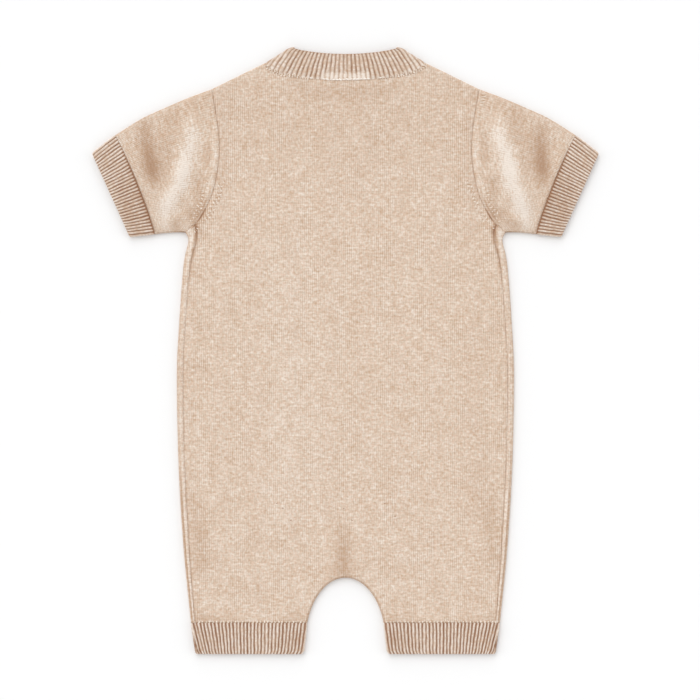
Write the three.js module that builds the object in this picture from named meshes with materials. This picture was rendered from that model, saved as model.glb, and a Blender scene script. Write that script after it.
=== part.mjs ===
import * as THREE from 'three';

// A short-sleeved baby romper in fine cotton knit, laid flat on its front with its back facing up.
// Sizes are in millimetres. X runs across the garment, Y from the legs up to the neck, and Z up
// from the surface that it lies on. Each table gives one half, as reach, the distance out from the
// middle line, and height, the distance up the garment from its middle. The other half mirrors it.

// Cloth: two layers lie on each other, and an edge where the cloth turns over is a half round
const wall = 1.5;
const betweenLayers = 0.5;
const seamGap = 0.3;
const edgeRadius = wall + betweenLayers / 2;
const hollowRadius = betweenLayers / 2;
const edgeTurns = [45, 90, 135];
const seamedEdgeTurns = [30, 60, 85];

// Rib: raised in the outer face of the upper layer
const ribHeight = 0.8;
const backNeckRibs = 33;
const sleeveCuffRibs = 30;
const legCuffRibs = 31;
const cuffCornerStart = 0.9;
const cuffCornerInset = 1.5;

// Neck: the hole for the head, and the free edge of the band round it
const neckReach = 60.7;
const neckHeight = 219.6;
const backNeckDrop = 11.9;
const frontNeckDrop = 47.6;
const neckSteps = 5;
const neckRoll = new THREE.Vector2(0.5, 1.67);
const bandEdgeReach = 40.8;
const bandEdgeHeight = 232;
const backBandDip = 4.2;
const frontBandDip = 40;
const bandEdgeRoll = new THREE.Vector2(0.9, 1.5);
const frontBandColumns = 10;

// Armhole seam, from the shoulder down to the underarm
const armholeTable = [
  { reach: 102.5, height: 199.1 },
  { reach: 99.4, height: 181.3 },
  { reach: 97.2, height: 163.5 },
  { reach: 97.4, height: 145.5 },
  { reach: 101.2, height: 124.0 },
  { reach: 107.2, height: 109.5 },
  { reach: 113.6, height: 99.3 },
  { reach: 121.6, height: 91.7 },
];
const armholeSteps = 11;
const yokeSteps = 4;
const shoulderSteps = 4;
const yokeMiddleHeight = 154;
const underarmMiddleHeight = 86;

// Side edge, from the underarm down to the leg cuff
const sideTable = [
  { reach: 123.0, height: 90.4 },
  { reach: 120.8, height: 84.0 },
  { reach: 124.5, height: 65.8 },
  { reach: 128.2, height: 15.7 },
  { reach: 129.7, height: -22.8 },
  { reach: 128.2, height: -92.1 },
  { reach: 124.4, height: -153.7 },
  { reach: 118.8, height: -209.4 },
];
const trunkSteps = 12;
const legSteps = 6;
const sideStepGrowth = 1.3;
const panelColumns = neckSteps + shoulderSteps;

// The strip of the front that shows beside the side seam on the back, and the ridge of that seam
const stripTable = [
  { down: 0.0, width: 7.5 },
  { down: 0.03, width: 5.6 },
  { down: 0.15, width: 5.0 },
  { down: 0.75, width: 4.8 },
  { down: 1.0, width: 3.2 },
];
const stripRidge = [0.25, 0.55, 0.2];

// Arch between the legs: part of an upright ellipse
const archHalfWidth = 31;
const archRise = 48;
const archPeakHeight = -174.9;
const legSeamHeight = -209.4;

// Sleeve, folded along its top edge, and the line where its cuff is linked on
const sleeveTopTable = [
  { reach: 102.8, height: 200.9 },
  { reach: 120.5, height: 194.3 },
  { reach: 136.7, height: 187.4 },
  { reach: 156.7, height: 178.2 },
  { reach: 177.0, height: 165.5 },
];
const sleeveUnderTable = [
  { reach: 123.6, height: 91.0 },
  { reach: 134.0, height: 90.6 },
  { reach: 146.2, height: 89.4 },
];
const sleeveSteps = 8;

// Corners of the cuffs, where their folded edges start and end
const sleeveCuffCorners = {
  seamTop: { reach: 177.0, height: 165.5 },
  seamUnder: { reach: 146.2, height: 89.4 },
  freeTop: { reach: 194.8, height: 151.4 },
  freeUnder: { reach: 165.8, height: 87.0 },
};
const legCuffCorners = {
  seamInside: { reach: 29.8, height: legSeamHeight },
  seamOutside: { reach: 118.8, height: legSeamHeight },
  freeInside: { reach: 32.6, height: -233.5 },
  freeOutside: { reach: 115.8, height: -233.5 },
};

// Soft ridges of the upper layer: side -1 is the wearer's left, 1 the right
const ridgeTable = [
  { side: -1, fromReach: 119.7, fromHeight: 181, toReach: 124.4, toHeight: 133, width: 8.5, rise: 1.7 },
  { side: -1, fromReach: 124.4, fromHeight: 133, toReach: 137.5, toHeight: 109, width: 8.5, rise: 1.6 },
  { side: -1, fromReach: 163.5, fromHeight: 154, toReach: 157.0, toHeight: 122, width: 5.5, rise: 0.8 },
  { side: -1, fromReach: 102.5, fromHeight: 158, toReach: 107.5, toHeight: 124, width: 4.0, rise: 0.6 },
  { side: -1, fromReach: 5.0, fromHeight: -170, toReach: 10.0, toHeight: -148, width: 6.0, rise: 0.8 },
  { side: 1, fromReach: 117.0, fromHeight: 176, toReach: 126.5, toHeight: 143, width: 8.5, rise: 1.6 },
  { side: 1, fromReach: 126.5, fromHeight: 143, toReach: 136.5, toHeight: 110, width: 8.0, rise: 1.7 },
  { side: 1, fromReach: 162.0, fromHeight: 152, toReach: 156.0, toHeight: 118, width: 5.0, rise: 0.7 },
  { side: 1, fromReach: 102.0, fromHeight: 156, toReach: 107.0, toHeight: 124, width: 4.0, rise: 0.6 },
  { side: 1, fromReach: 6.0, fromHeight: -169, toReach: 12.0, toHeight: -150, width: 6.0, rise: 0.7 },
];

// Colours of the yarn
const plainKnit = { color: 0xdec8b5, roughness: 0.92, metalness: 0 };
const ribKnit = { color: 0xd0b7a2, roughness: 0.94, metalness: 0 };

const noRoll = new THREE.Vector2(0, 0);
const halves = [-1, 1];

function pointOf(row) {
  return new THREE.Vector2(row.reach, row.height);
}

function between(start, end, fraction) {
  return new THREE.Vector2().lerpVectors(start, end, fraction);
}

function directionFrom(start, end) {
  return new THREE.Vector2().subVectors(end, start).normalize();
}

function fractions(steps) {
  return Array.from({ length: steps + 1 }, (_, index) => index / steps);
}

// Points at equal distances along a smooth line through a table's rows
function evenPoints(table, shares) {
  const curve = new THREE.SplineCurve(table.map(pointOf));
  return shares.map((share) => curve.getPointAt(share));
}

// The point of a line of straight stretches at a share of its length
function alongLine(points, share) {
  const lengths = points.slice(1).map((point, index) => point.distanceTo(points[index]));
  let left = share * lengths.reduce((sum, length) => sum + length, 0);
  let index = 0;
  while (index < lengths.length - 1 && left > lengths[index]) {
    left -= lengths[index];
    index += 1;
  }
  return between(points[index], points[index + 1], left / lengths[index]);
}

// The same line moved to its left, by the same distance from every stretch of it
function movedLine(points, distance) {
  return points.map((point, index) => {
    const before = points[Math.max(index - 1, 0)];
    const after = points[Math.min(index + 1, points.length - 1)];
    const along = directionFrom(before, after);
    const normal = new THREE.Vector2(-along.y, along.x);
    const stretch = directionFrom(index ? before : point, index ? point : after);
    const slant = normal.dot(new THREE.Vector2(-stretch.y, stretch.x));
    return point.clone().addScaledVector(normal, distance / slant);
  });
}

function valueAt(table, key, column, at) {
  const next = Math.max(table.findIndex((row) => row[key] >= at), 1);
  const share = (at - table[next - 1][key]) / (table[next][key] - table[next - 1][key]);
  return THREE.MathUtils.lerp(table[next - 1][column], table[next][column], share);
}

// How far the upper layer rises at a place, from the highest ridge there
function riseAt(side, at) {
  const place = new THREE.Vector2(side * at.x, at.y);
  const rises = ridgeTable.map((ridge) => {
    const start = new THREE.Vector2(ridge.side * ridge.fromReach, ridge.fromHeight);
    const run = new THREE.Vector2(ridge.side * ridge.toReach, ridge.toHeight).sub(start);
    const share = THREE.MathUtils.clamp(place.clone().sub(start).dot(run) / run.lengthSq(), 0, 1);
    const away = start.addScaledVector(run, share).distanceTo(place);
    return ridge.rise * Math.exp(-((away / ridge.width) ** 2));
  });
  return Math.max(...rises);
}

// A wall point says where the outer and the inner face of the cloth lie. Turn is 180 on the upper
// layer and 0 on the layer that lies on the surface. Between them the cloth turns over an edge, and
// at 90 it has gone the whole of roll beyond its flat end. A seamed edge stays clear of its middle.
function wallPoint(side, at, turn, { roll = noRoll, raised = 0, seamed = false } = {}) {
  const angle = THREE.MathUtils.degToRad(turn);
  const out = Math.sin(angle);
  const up = -Math.cos(angle);
  const rise = Math.max(up, 0) * riseAt(side, at);
  const innerShare = hollowRadius / edgeRadius;
  const innerUp = seamed
    ? Math.sign(up) * THREE.MathUtils.lerp(seamGap / 2, hollowRadius, Math.abs(up))
    : up * hollowRadius;
  const place = (share, height) => new THREE.Vector3(
    side * (at.x + roll.x * out * share),
    at.y + roll.y * out * share,
    edgeRadius + height + rise,
  );
  return { outer: place(1, up * edgeRadius + raised), inner: place(innerShare, innerUp) };
}

// Cells join the points of neighbouring rows, where all four are there
function cellsOf(rows, closed = false) {
  const cells = [];
  for (let row = 0; row < rows.length - 1; row += 1) {
    const columns = rows[row].length;
    for (let column = 0; column < (closed ? columns : columns - 1); column += 1) {
      const next = (column + 1) % columns;
      const cell = [rows[row][column], rows[row][next], rows[row + 1][next], rows[row + 1][column]];
      if (cell.every(Boolean)) {
        cells.push(cell);
      }
    }
  }
  return cells;
}

// A closed solid from cells: an outer face, an inner face, and a rim along every free edge
function wallGeometry(cells) {
  const places = new Map();
  const positions = [];
  const indices = [];
  const indexOf = (point) => {
    const key = point.toArray().map((value) => Math.round(value * 1e4)).join();
    if (!places.has(key)) {
      places.set(key, places.size);
      positions.push(...point.toArray());
    }
    return places.get(key);
  };
  const faces = cells.map((cell) => {
    const [first, second, third, fourth] = cell.map((point) => point.outer);
    const normal = new THREE.Vector3().subVectors(third, first)
      .cross(new THREE.Vector3().subVectors(fourth, second));
    const outward = cell.reduce(
      (sum, point) => sum.add(point.outer).sub(point.inner),
      new THREE.Vector3(),
    );
    const turned = normal.dot(outward) < 0 ? [...cell].reverse() : cell;
    return turned.map((point) => [indexOf(point.outer), indexOf(point.inner)]);
  });
  const addQuad = (a, b, c, d) => indices.push(a, b, c, a, c, d);
  const edges = new Set();
  for (const face of faces) {
    face.forEach(([outer], index) => edges.add(`${outer},${face[(index + 1) % 4][0]}`));
  }
  for (const face of faces) {
    addQuad(...face.map(([outer]) => outer));
    addQuad(...face.map(([, inner]) => inner).reverse());
    face.forEach(([outer, inner], index) => {
      const [nextOuter, nextInner] = face[(index + 1) % 4];
      if (!edges.has(`${nextOuter},${outer}`)) {
        addQuad(nextOuter, outer, inner, nextInner);
      }
    });
  }
  const geometry = new THREE.BufferGeometry();
  geometry.setAttribute('position', new THREE.Float32BufferAttribute(positions, 3));
  geometry.setIndex(indices);
  geometry.computeVertexNormals();
  return geometry;
}

function piece(name, cells, finish) {
  const mesh = new THREE.Mesh(wallGeometry(cells), new THREE.MeshStandardMaterial(finish));
  mesh.name = name;
  return mesh;
}

// Seam lines that two pieces share
const armhole = evenPoints(armholeTable, fractions(armholeSteps));
const shoulderPoint = armhole[0];
const underarmPoint = armhole[armholeSteps];
const shoulderRoll = directionFrom(armhole[1], shoulderPoint).multiplyScalar(edgeRadius);
const underarmRoll = directionFrom(armhole[armholeSteps - 1], underarmPoint).multiplyScalar(edgeRadius);
const sideRoll = new THREE.Vector2(edgeRadius, 0);
const neckPoint = new THREE.Vector2(neckReach, neckHeight);

// Half of the neck seam, from the middle line up to the shoulder
function neckLine(drop) {
  return fractions(neckSteps).map((share) => {
    const angle = share * Math.PI / 2;
    return new THREE.Vector2(neckReach * Math.sin(angle), neckHeight - drop * Math.cos(angle));
  });
}

// Flat ends of the rows of a panel's half, on its inner side and at its outer side
function panelRows() {
  const rows = armhole.slice(yokeSteps).map((outer, index) => {
    const share = index / (armholeSteps - yokeSteps);
    const height = THREE.MathUtils.lerp(yokeMiddleHeight, underarmMiddleHeight, share);
    return { inner: new THREE.Vector2(0, height), outer };
  });
  rows[rows.length - 1].sideRoll = underarmRoll;
  rows[rows.length - 1].down = 0;
  const sideSteps = trunkSteps + legSteps;
  const downs = fractions(sideSteps).map((share) => share ** sideStepGrowth);
  const sides = evenPoints(sideTable, downs);
  const archCentre = archPeakHeight - archRise;
  const lastAngle = Math.asin((legSeamHeight - archCentre) / archRise);
  for (let step = 1; step <= sideSteps; step += 1) {
    const down = downs[step];
    const row = { down, sideRoll, outer: sides[step].clone().sub(sideRoll) };
    if (step < trunkSteps) {
      const middle = archPeakHeight + edgeRadius;
      const height = THREE.MathUtils.lerp(underarmMiddleHeight, middle, step / trunkSteps);
      row.inner = new THREE.Vector2(0, height);
    } else {
      const share = (step - trunkSteps) / legSteps;
      const angle = THREE.MathUtils.lerp(Math.PI / 2, lastAngle, share);
      const edge = new THREE.Vector2(archHalfWidth * Math.cos(angle), archCentre + archRise * Math.sin(angle));
      const slope = share === 1
        ? new THREE.Vector2(-1, 0)
        : new THREE.Vector2(-Math.cos(angle) / archHalfWidth, -Math.sin(angle) / archRise).normalize();
      row.archRoll = slope.multiplyScalar(edgeRadius);
      row.inner = edge.sub(row.archRoll);
    }
    rows.push(row);
  }
  return rows;
}

// One half of a body panel: turn is 180 for the back, which lies on top, and 0 for the front
function panelCells(side, neckDrop, turn) {
  const isBack = turn === 180;
  const turnFor = (angle) => (isBack ? 180 - angle : angle);
  const neck = neckLine(neckDrop);
  const shoulder = fractions(shoulderSteps).slice(1).map((share) => between(neckPoint, shoulderPoint, share));
  const top = [...neck, ...shoulder];
  const rows = panelRows();
  const base = fractions(panelColumns).map((share) => between(rows[0].inner, rows[0].outer, share));
  const emptyEnd = Array(edgeTurns.length + 1 + stripRidge.length - 1).fill(null);
  const emptyStart = Array(seamedEdgeTurns.length).fill(null);
  const flat = (points) => points.map((point) => wallPoint(side, point, turn));

  const shoulderEdge = [...seamedEdgeTurns].reverse().map((angle) => {
    const points = top.map((point, column) => {
      if (column < neckSteps) {
        return null;
      }
      const roll = between(neckRoll, shoulderRoll, (column - neckSteps) / shoulderSteps);
      return wallPoint(side, point, turnFor(angle), { roll, seamed: true });
    });
    return [...emptyStart, ...points, ...emptyEnd];
  });

  const yoke = fractions(yokeSteps).slice(0, -1).map((down, row) => {
    const drift = armhole[row].clone().sub(between(shoulderPoint, base[panelColumns], down));
    const points = top.map((point, column) => between(point, base[column], down)
      .addScaledVector(drift, column / panelColumns));
    return [...emptyStart, ...flat(points), ...emptyEnd];
  });

  const body = rows.map((row) => {
    const seam = row.down === undefined ? null : stripSeam(row);
    const outer = isBack && seam ? seam.back : row.outer;
    const points = fractions(panelColumns).map((share) => between(row.inner, outer, share));
    const start = row.archRoll
      ? [...seamedEdgeTurns].reverse().map((angle) => (
        wallPoint(side, row.inner, turnFor(angle), { roll: row.archRoll, seamed: true })))
      : emptyStart;
    const end = seam && !isBack ? sideStrip(side, row, seam) : emptyEnd;
    return [...start, ...flat(points), ...end];
  });

  return cellsOf([...shoulderEdge, ...yoke, ...body]);
}

// Where the side seam crosses a row: the front's edge, and the back's edge beside it
function stripSeam(row) {
  const width = valueAt(stripTable, 'down', 'width', row.down) - (row.down ? edgeRadius : 0);
  const inward = row.down ? new THREE.Vector2(-1, 0) : directionFrom(underarmPoint, armhole[armholeSteps - 1]);
  return {
    middle: row.outer.clone().addScaledVector(inward, width / 2),
    front: row.outer.clone().addScaledVector(inward, width),
    back: row.outer.clone().addScaledVector(inward, width + seamGap),
  };
}

// The front goes on over the side edge and ends in a raised strip on the upper layer
function sideStrip(side, row, seam) {
  const [edgeRidge, middleRidge, seamRidge] = stripRidge;
  return [
    ...edgeTurns.map((angle) => wallPoint(side, row.outer, angle, { roll: row.sideRoll })),
    wallPoint(side, row.outer, 180, { raised: edgeRidge }),
    wallPoint(side, seam.middle, 180, { raised: middleRidge }),
    wallPoint(side, seam.front, 180, { raised: seamRidge }),
  ];
}

function bodyPanel(name, neckDrop, turn) {
  return piece(name, halves.flatMap((side) => panelCells(side, neckDrop, turn)), plainKnit);
}

// A ring round a flattened tube, from one folded edge over the upper layer to the other and back
// underneath. Ribs, where it has them, are raised at every second point of the upper layer.
function flatRing(side, { upper, lower, startRoll, endRoll, ribbed = false }) {
  const last = upper.length - 1;
  return [
    ...upper.map((point, index) => (
      wallPoint(side, point, 180, { raised: ribbed && index % 2 ? ribHeight : 0 }))),
    ...[...edgeTurns].reverse().map((angle) => wallPoint(side, upper[last], angle, { roll: endRoll })),
    ...[...lower].reverse().map((point) => wallPoint(side, point, 0)),
    ...edgeTurns.map((angle) => wallPoint(side, upper[0], angle, { roll: startRoll })),
  ];
}

// A sleeve runs from the armhole seam to its cuff, between its top fold and its underarm edge
function sleeve(name, side) {
  const start = movedLine(armhole, seamGap);
  const { seamTop, seamUnder } = sleeveCuffCorners;
  const cuffRoll = directionFrom(pointOf(seamUnder), pointOf(seamTop)).multiplyScalar(edgeRadius);
  const shares = fractions(sleeveSteps);
  const topEdge = evenPoints(sleeveTopTable, shares);
  const underEdge = evenPoints(sleeveUnderTable, shares);
  const lastTop = pointOf(seamTop).sub(cuffRoll);
  const lastUnder = pointOf(seamUnder).add(cuffRoll);
  const rings = shares.map((share, step) => {
    const startRoll = between(shoulderRoll, cuffRoll, share).setLength(edgeRadius);
    const turned = Math.min(share * 3, 1);
    const endRoll = between(underarmRoll, cuffRoll.clone().negate(), turned).setLength(edgeRadius);
    const top = step ? topEdge[step].clone().sub(startRoll) : start[0];
    const under = step ? underEdge[step].clone().sub(endRoll) : start[armholeSteps];
    const topDrift = top.clone().sub(between(start[0], lastTop, share));
    const underDrift = under.clone().sub(between(start[armholeSteps], lastUnder, share));
    const line = start.map((point, column) => {
      const across = column / armholeSteps;
      return between(point, between(lastTop, lastUnder, across), share)
        .addScaledVector(topDrift, 1 - across)
        .addScaledVector(underDrift, across);
    });
    return flatRing(side, { upper: line, lower: line, startRoll, endRoll });
  });
  return piece(name, cellsOf(rings, true), plainKnit);
}

// A ribbed cuff between the corners of its seam line and of its free edge
function cuff(name, side, { seam, free, ribs }) {
  const start = movedLine(seam.map(pointOf), seamGap);
  const end = free.map(pointOf);
  const rings = [0, cuffCornerStart, 1].map((share) => {
    const inset = share === 1 ? cuffCornerInset : 0;
    const first = between(start[0], end[0], share);
    const second = between(start[1], end[1], share);
    const roll = directionFrom(second, first).multiplyScalar(edgeRadius);
    const inward = roll.clone().setLength(edgeRadius + inset);
    const line = [first.sub(inward), second.add(inward)];
    const upper = fractions(2 * ribs).map((place) => alongLine(line, place));
    const lower = fractions(armholeSteps).map((place) => alongLine(line, place));
    return flatRing(side, { upper, lower, startRoll: roll, endRoll: roll.clone().negate(), ribbed: true });
  });
  return piece(name, cellsOf(rings, true), ribKnit);
}

// Half of the neck band, whose ribs fan in from the seam to the free edge
function neckBandCells(side) {
  const freeEdge = (dip) => new THREE.EllipseCurve(0, bandEdgeHeight, bandEdgeReach, dip, -Math.PI / 2, 0);
  const backSeam = movedLine(neckLine(backNeckDrop), seamGap);
  const frontSeam = movedLine(neckLine(frontNeckDrop), seamGap);
  [backSeam, frontSeam].forEach((seam) => seam[0].setX(0));
  const fan = (seam, dip, columns, share) => fractions(columns).map((place) => {
    const edge = dip === backBandDip
      ? new THREE.Vector2(bandEdgeReach * place, bandEdgeHeight - dip * (1 - place ** 2))
      : freeEdge(dip).getPointAt(place);
    return between(alongLine(seam, place), edge, share);
  });
  const rows = [0, cuffCornerStart, 1].map((share) => {
    const back = fan(backSeam, backBandDip, backNeckRibs, share);
    const front = fan(frontSeam, frontBandDip, frontBandColumns, share);
    const roll = between(neckRoll, bandEdgeRoll, share);
    return [
      ...back.map((point, index) => wallPoint(side, point, 180, { raised: index % 2 ? 0 : ribHeight })),
      ...[...edgeTurns].reverse().map((angle) => (
        wallPoint(side, back[backNeckRibs], angle, { roll }))),
      ...[...front].reverse().map((point) => wallPoint(side, point, 0)),
    ];
  });
  return cellsOf(rows);
}

const romper = new THREE.Group();
romper.add(bodyPanel('back_body', backNeckDrop, 180));
romper.add(bodyPanel('front_body', frontNeckDrop, 0));
romper.add(piece('neck_band', halves.flatMap(neckBandCells), ribKnit));
for (const [name, side] of [['left', -1], ['right', 1]]) {
  romper.add(sleeve(`sleeve_${name}`, side));
  romper.add(cuff(`sleeve_cuff_${name}`, side, {
    seam: [sleeveCuffCorners.seamTop, sleeveCuffCorners.seamUnder],
    free: [sleeveCuffCorners.freeTop, sleeveCuffCorners.freeUnder],
    ribs: sleeveCuffRibs,
  }));
  romper.add(cuff(`leg_cuff_${name}`, side, {
    seam: [legCuffCorners.seamOutside, legCuffCorners.seamInside],
    free: [legCuffCorners.freeOutside, legCuffCorners.freeInside],
    ribs: legCuffRibs,
  }));
}

export default romper;
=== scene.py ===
"""A baby romper in fine heathered knit, laid flat with its back up on a pale table.

Lengths in the tables and in the functions on cloth are millimetres. A place is given as reach, the
distance out from the middle line, and height, the distance up the garment from its middle.
"""

import bpy
import numpy as np
from mathutils import Matrix, Vector


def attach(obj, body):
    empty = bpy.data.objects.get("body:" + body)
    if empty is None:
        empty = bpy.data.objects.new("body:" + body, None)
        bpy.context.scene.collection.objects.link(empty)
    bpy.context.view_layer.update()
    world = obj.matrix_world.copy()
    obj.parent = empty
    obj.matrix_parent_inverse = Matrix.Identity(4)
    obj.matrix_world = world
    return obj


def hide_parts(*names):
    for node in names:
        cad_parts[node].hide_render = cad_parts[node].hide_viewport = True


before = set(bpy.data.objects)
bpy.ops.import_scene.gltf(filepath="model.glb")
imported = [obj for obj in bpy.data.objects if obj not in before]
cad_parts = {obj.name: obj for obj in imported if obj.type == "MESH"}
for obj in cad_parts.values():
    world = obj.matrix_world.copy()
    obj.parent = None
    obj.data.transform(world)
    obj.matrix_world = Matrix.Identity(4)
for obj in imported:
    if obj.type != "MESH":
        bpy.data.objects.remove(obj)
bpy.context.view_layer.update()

bl_info = {
    "name": "Knitted baby romper",
    "version": (1, 0, 0),
    "blender": (4, 5, 0),
    "location": "3D View > Sidebar > Romper",
    "description": "A knitted romper laid flat, with a ribbed neck band and ribbed cuffs",
    "category": "Object",
}

MM = 0.001
HALVES = (-1, 1)
BOTH = 0
KNIT_MAP = "Knit"
SHADE_AND_TONE_ATTRIBUTE = "painted_shade_and_tone"
WEAR_AND_SHADE_ATTRIBUTE = "wear_and_shade"

# Cloth: two layers on each other, and a half round where the cloth turns over an edge
WALL = 1.5
BETWEEN_LAYERS = 0.5
SEAM_GAP = 0.05
EDGE_RADIUS = WALL + BETWEEN_LAYERS / 2
HOLLOW_RADIUS = BETWEEN_LAYERS / 2
FOLD_TURNS = np.linspace(180, 0, 11)[1:-1]
SEAMED_TURNS = np.array([85, 75, 60, 45, 30, 15])
SEAM_STEPS = np.array([0, 0.4, 0.8, 1.3, 2.0, 3.0])
ROUND_EDGE = 0.7

# Neck hole and the free edge of its band
NECK_REACH = 60.7
NECK_HEIGHT = 219.6
BACK_NECK_DROP = 11.9
FRONT_NECK_DROP = 47.6
NECK_ROLL = np.array([0.5, 1.67])
BAND_EDGE_REACH = 40.8
BAND_EDGE_HEIGHT = 232.0
BACK_BAND_DIP = 4.2
FRONT_BAND_DIP = 40.0
BAND_EDGE_ROLL = np.array([0.9, 1.5])
NECK_RIBS_AT_SEAM = 17.6
NECK_RIBS_AT_EDGE = 14.6
HALF_NECK_RIBS = 38.5
BAND_DEPTH = 20.0
BAND_CORNER = 2.0

# Middle of the neck band, where its ribs are worn flat over a pale row of stitches
WORN_HALF_WIDTH = 19.5
WORN_DEPTH = 6.5

# Armhole seam from the shoulder to the underarm, as reach and height. The yoke ends at a share of
# it, and the neck takes a share of the columns of the cloth
ARMHOLE = [(102.5, 199.1), (99.4, 181.3), (97.2, 163.5), (97.4, 145.5),
           (101.2, 124.0), (107.2, 109.5), (113.6, 99.3), (121.6, 91.7)]
YOKE_SHARE = 4 / 11
NECK_SHARE = 5 / 9
YOKE_MIDDLE_HEIGHT = 154.0
UNDERARM_MIDDLE_HEIGHT = 86.0

# Side edge from the underarm to the leg end, as reach and height. The trunk takes a share of the
# rows below the underarm, and rows lie closer together near their top than near their end
SIDE = [(123.0, 90.4), (120.8, 84.0), (124.5, 65.8), (128.2, 15.7),
        (129.7, -22.8), (128.2, -92.1), (124.4, -153.7), (118.8, -209.4)]
TRUNK_SHARE = 2 / 3
SIDE_GROWTH = 1.3
SIDE_TOP_SHARE = 0.0234

# Width of the strip of the front beside the side seam, by share of the way down
STRIP_DOWN = [0.0, SIDE_TOP_SHARE, 0.15, 0.75, 1.0]
STRIP_WIDTH = [7.5, 4.35, 3.25, 3.05, 1.45]
# Where the points of the strip lie across it, from the fold to the seam
STRIP_AT = np.array([0, 0.25, 0.5, 0.75, 0.9, 1.0])

# Lengths that the rows and columns of the plain cloth are counted along
SHOULDER_LENGTH = 46.6
YOKE_LENGTH = 54
ARMHOLE_BELOW_YOKE = 68
TRUNK_LENGTH = 215
LEG_LENGTH = 90
SLEEVE_WIDTH = 115
SLEEVE_LENGTH = 76

# Places in the map of the knit: how far the front is from the back, and what goes round a sleeve
FRONT_MAP_SHIFT = 300
SLEEVE_MAP_WIDTH = 100
SLEEVE_MAP_FOLD = 5.5

# Arch between the legs, a stretch of an ellipse, and the seam of the leg cuffs
ARCH_HALF_WIDTH = 30.5
ARCH_RISE = 48.0
ARCH_PEAK = -174.9
LEG_SEAM = -209.4

# Top and underside of the sleeve from the armhole to its cuff, as reach and height
SLEEVE_TOP = [(102.8, 200.9), (120.5, 194.3), (136.7, 187.4), (156.7, 178.2), (177.0, 165.5)]
SLEEVE_UNDER = [(123.6, 91.0), (134.0, 90.6), (146.2, 89.4)]

# Sheets before they are sewn, in metres. A cuff's sheet is in its own table
BACK_FLAT = (0.25, 0.431)
FRONT_FLAT = (0.28, 0.431)

# Cuffs. Corners are the two ends of the seam, then the two ends of the free edge. Lean is how many
# ribs run out into the fold on the way down, and wear_and_shade is below 0 where the grooves get a
# deeper painted shade and the crests a lighter painted highlight. Bow is how far the middle of the
# seam bows in toward the garment, and seam_shade is how dark the painted shade in the seam is
SLEEVE_CUFF = {"corners": [(177.0, 165.5), (146.2, 89.4), (194.8, 151.4), (165.8, 87.0)],
               "ribs": 30, "lean": 0.0, "rounding": (0.3, 0.6), "wear_and_shade": -0.25, "flat": (0.17, 0.024),
               "bow": 2.0, "seam_shade": 1.4}
LEG_CUFF = {"corners": [(118.8, LEG_SEAM), (29.3, LEG_SEAM), (115.8, -233.3), (32.0, -233.3)],
            "ribs": 31, "lean": 4.2, "rounding": (0.8, 1.4), "wear_and_shade": -0.5, "flat": (0.19, 0.026),
            "bow": 0.0, "seam_shade": 0.06}
FOLD_RIBS = 2
LEAN_REACH = 14.0

# How each seam looks: depth and width of its dip, then darkness and width of the painted line of
# shade in it. The side seam's painted shade is darkest at its top and beside the leg, so its darkness
# is given by share of the way down
ARMHOLE_LOOK = (0.35, 0.7, 0.30, 0.5)
SIDE_LOOK = (0.3, 1.0, 0.0, 1.0)
SIDE_DOWN = [0.0, 0.09, 0.16, 0.58, 0.70, 1.0]
SIDE_SHADE = [0.42, 0.34, 0.08, 0.10, 0.30, 0.34]
NECK_LOOK = (0.2, 0.8, 0.0, 1.0)
CUFF_LOOK = (0.45, 0.8, 0.06, 2.6)

# Soft creases of the upper layer: half, width, then reach, height and rise along the crease
CREASES = [
    (-1, 8.0, [(117.5, 192, 0.7), (120.5, 172, 2.4), (124.4, 140, 2.9),
               (133.5, 118, 2.4), (137.5, 104, 0.9)]),
    (-1, 5.5, [(168.0, 162, 0.3), (163.5, 142, 1.5), (157.0, 116, 0.9)]),
    (-1, 3.2, [(101.5, 162, 0.2), (103.5, 141, 0.7), (109.5, 120, 0.4)]),
    (-1, 4.0, [(137.0, 180, 0.2), (139.0, 158, 0.9)]),
    (-1, 3.0, [(126.0, 103, 0.7), (139.0, 95, 0.3)]),
    (-1, 1.5, [(117.8, 96.5, 0.9), (113.5, 84, 0.1)]),
    (-1, 1.2, [(113.2, 98.5, 0.6), (110.5, 88, 0.1)]),
    (-1, 6.0, [(5.0, -171, 0.9), (8.0, -158, 0.7), (10.0, -144, 0.1)]),
    (-1, 2.0, [(9.5, -173, 0.5), (15.5, -167, 0.1)]),
    (1, 8.0, [(115.0, 189, 0.6), (120.5, 165, 2.2), (126.5, 143, 2.7),
              (134.5, 118, 2.5), (137.0, 105, 0.9)]),
    (1, 5.0, [(168.0, 160, 0.3), (162.5, 140, 1.3), (155.0, 112, 0.8)]),
    (1, 3.4, [(101.0, 160, 0.2), (103.0, 142, 0.7), (108.5, 121, 0.4)]),
    (1, 4.2, [(143.0, 176, 0.2), (141.5, 156, 0.8)]),
    (1, 3.0, [(126.0, 102, 0.6), (138.0, 96, 0.3)]),
    (1, 1.5, [(117.2, 96.5, 0.8), (114.2, 83, 0.1)]),
    (1, 6.0, [(6.0, -170, 0.8), (9.0, -158, 0.6), (12.0, -146, 0.1)]),
    (1, 2.0, [(8.0, -173, 0.5), (13.5, -168, 0.1)]),
]
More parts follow.
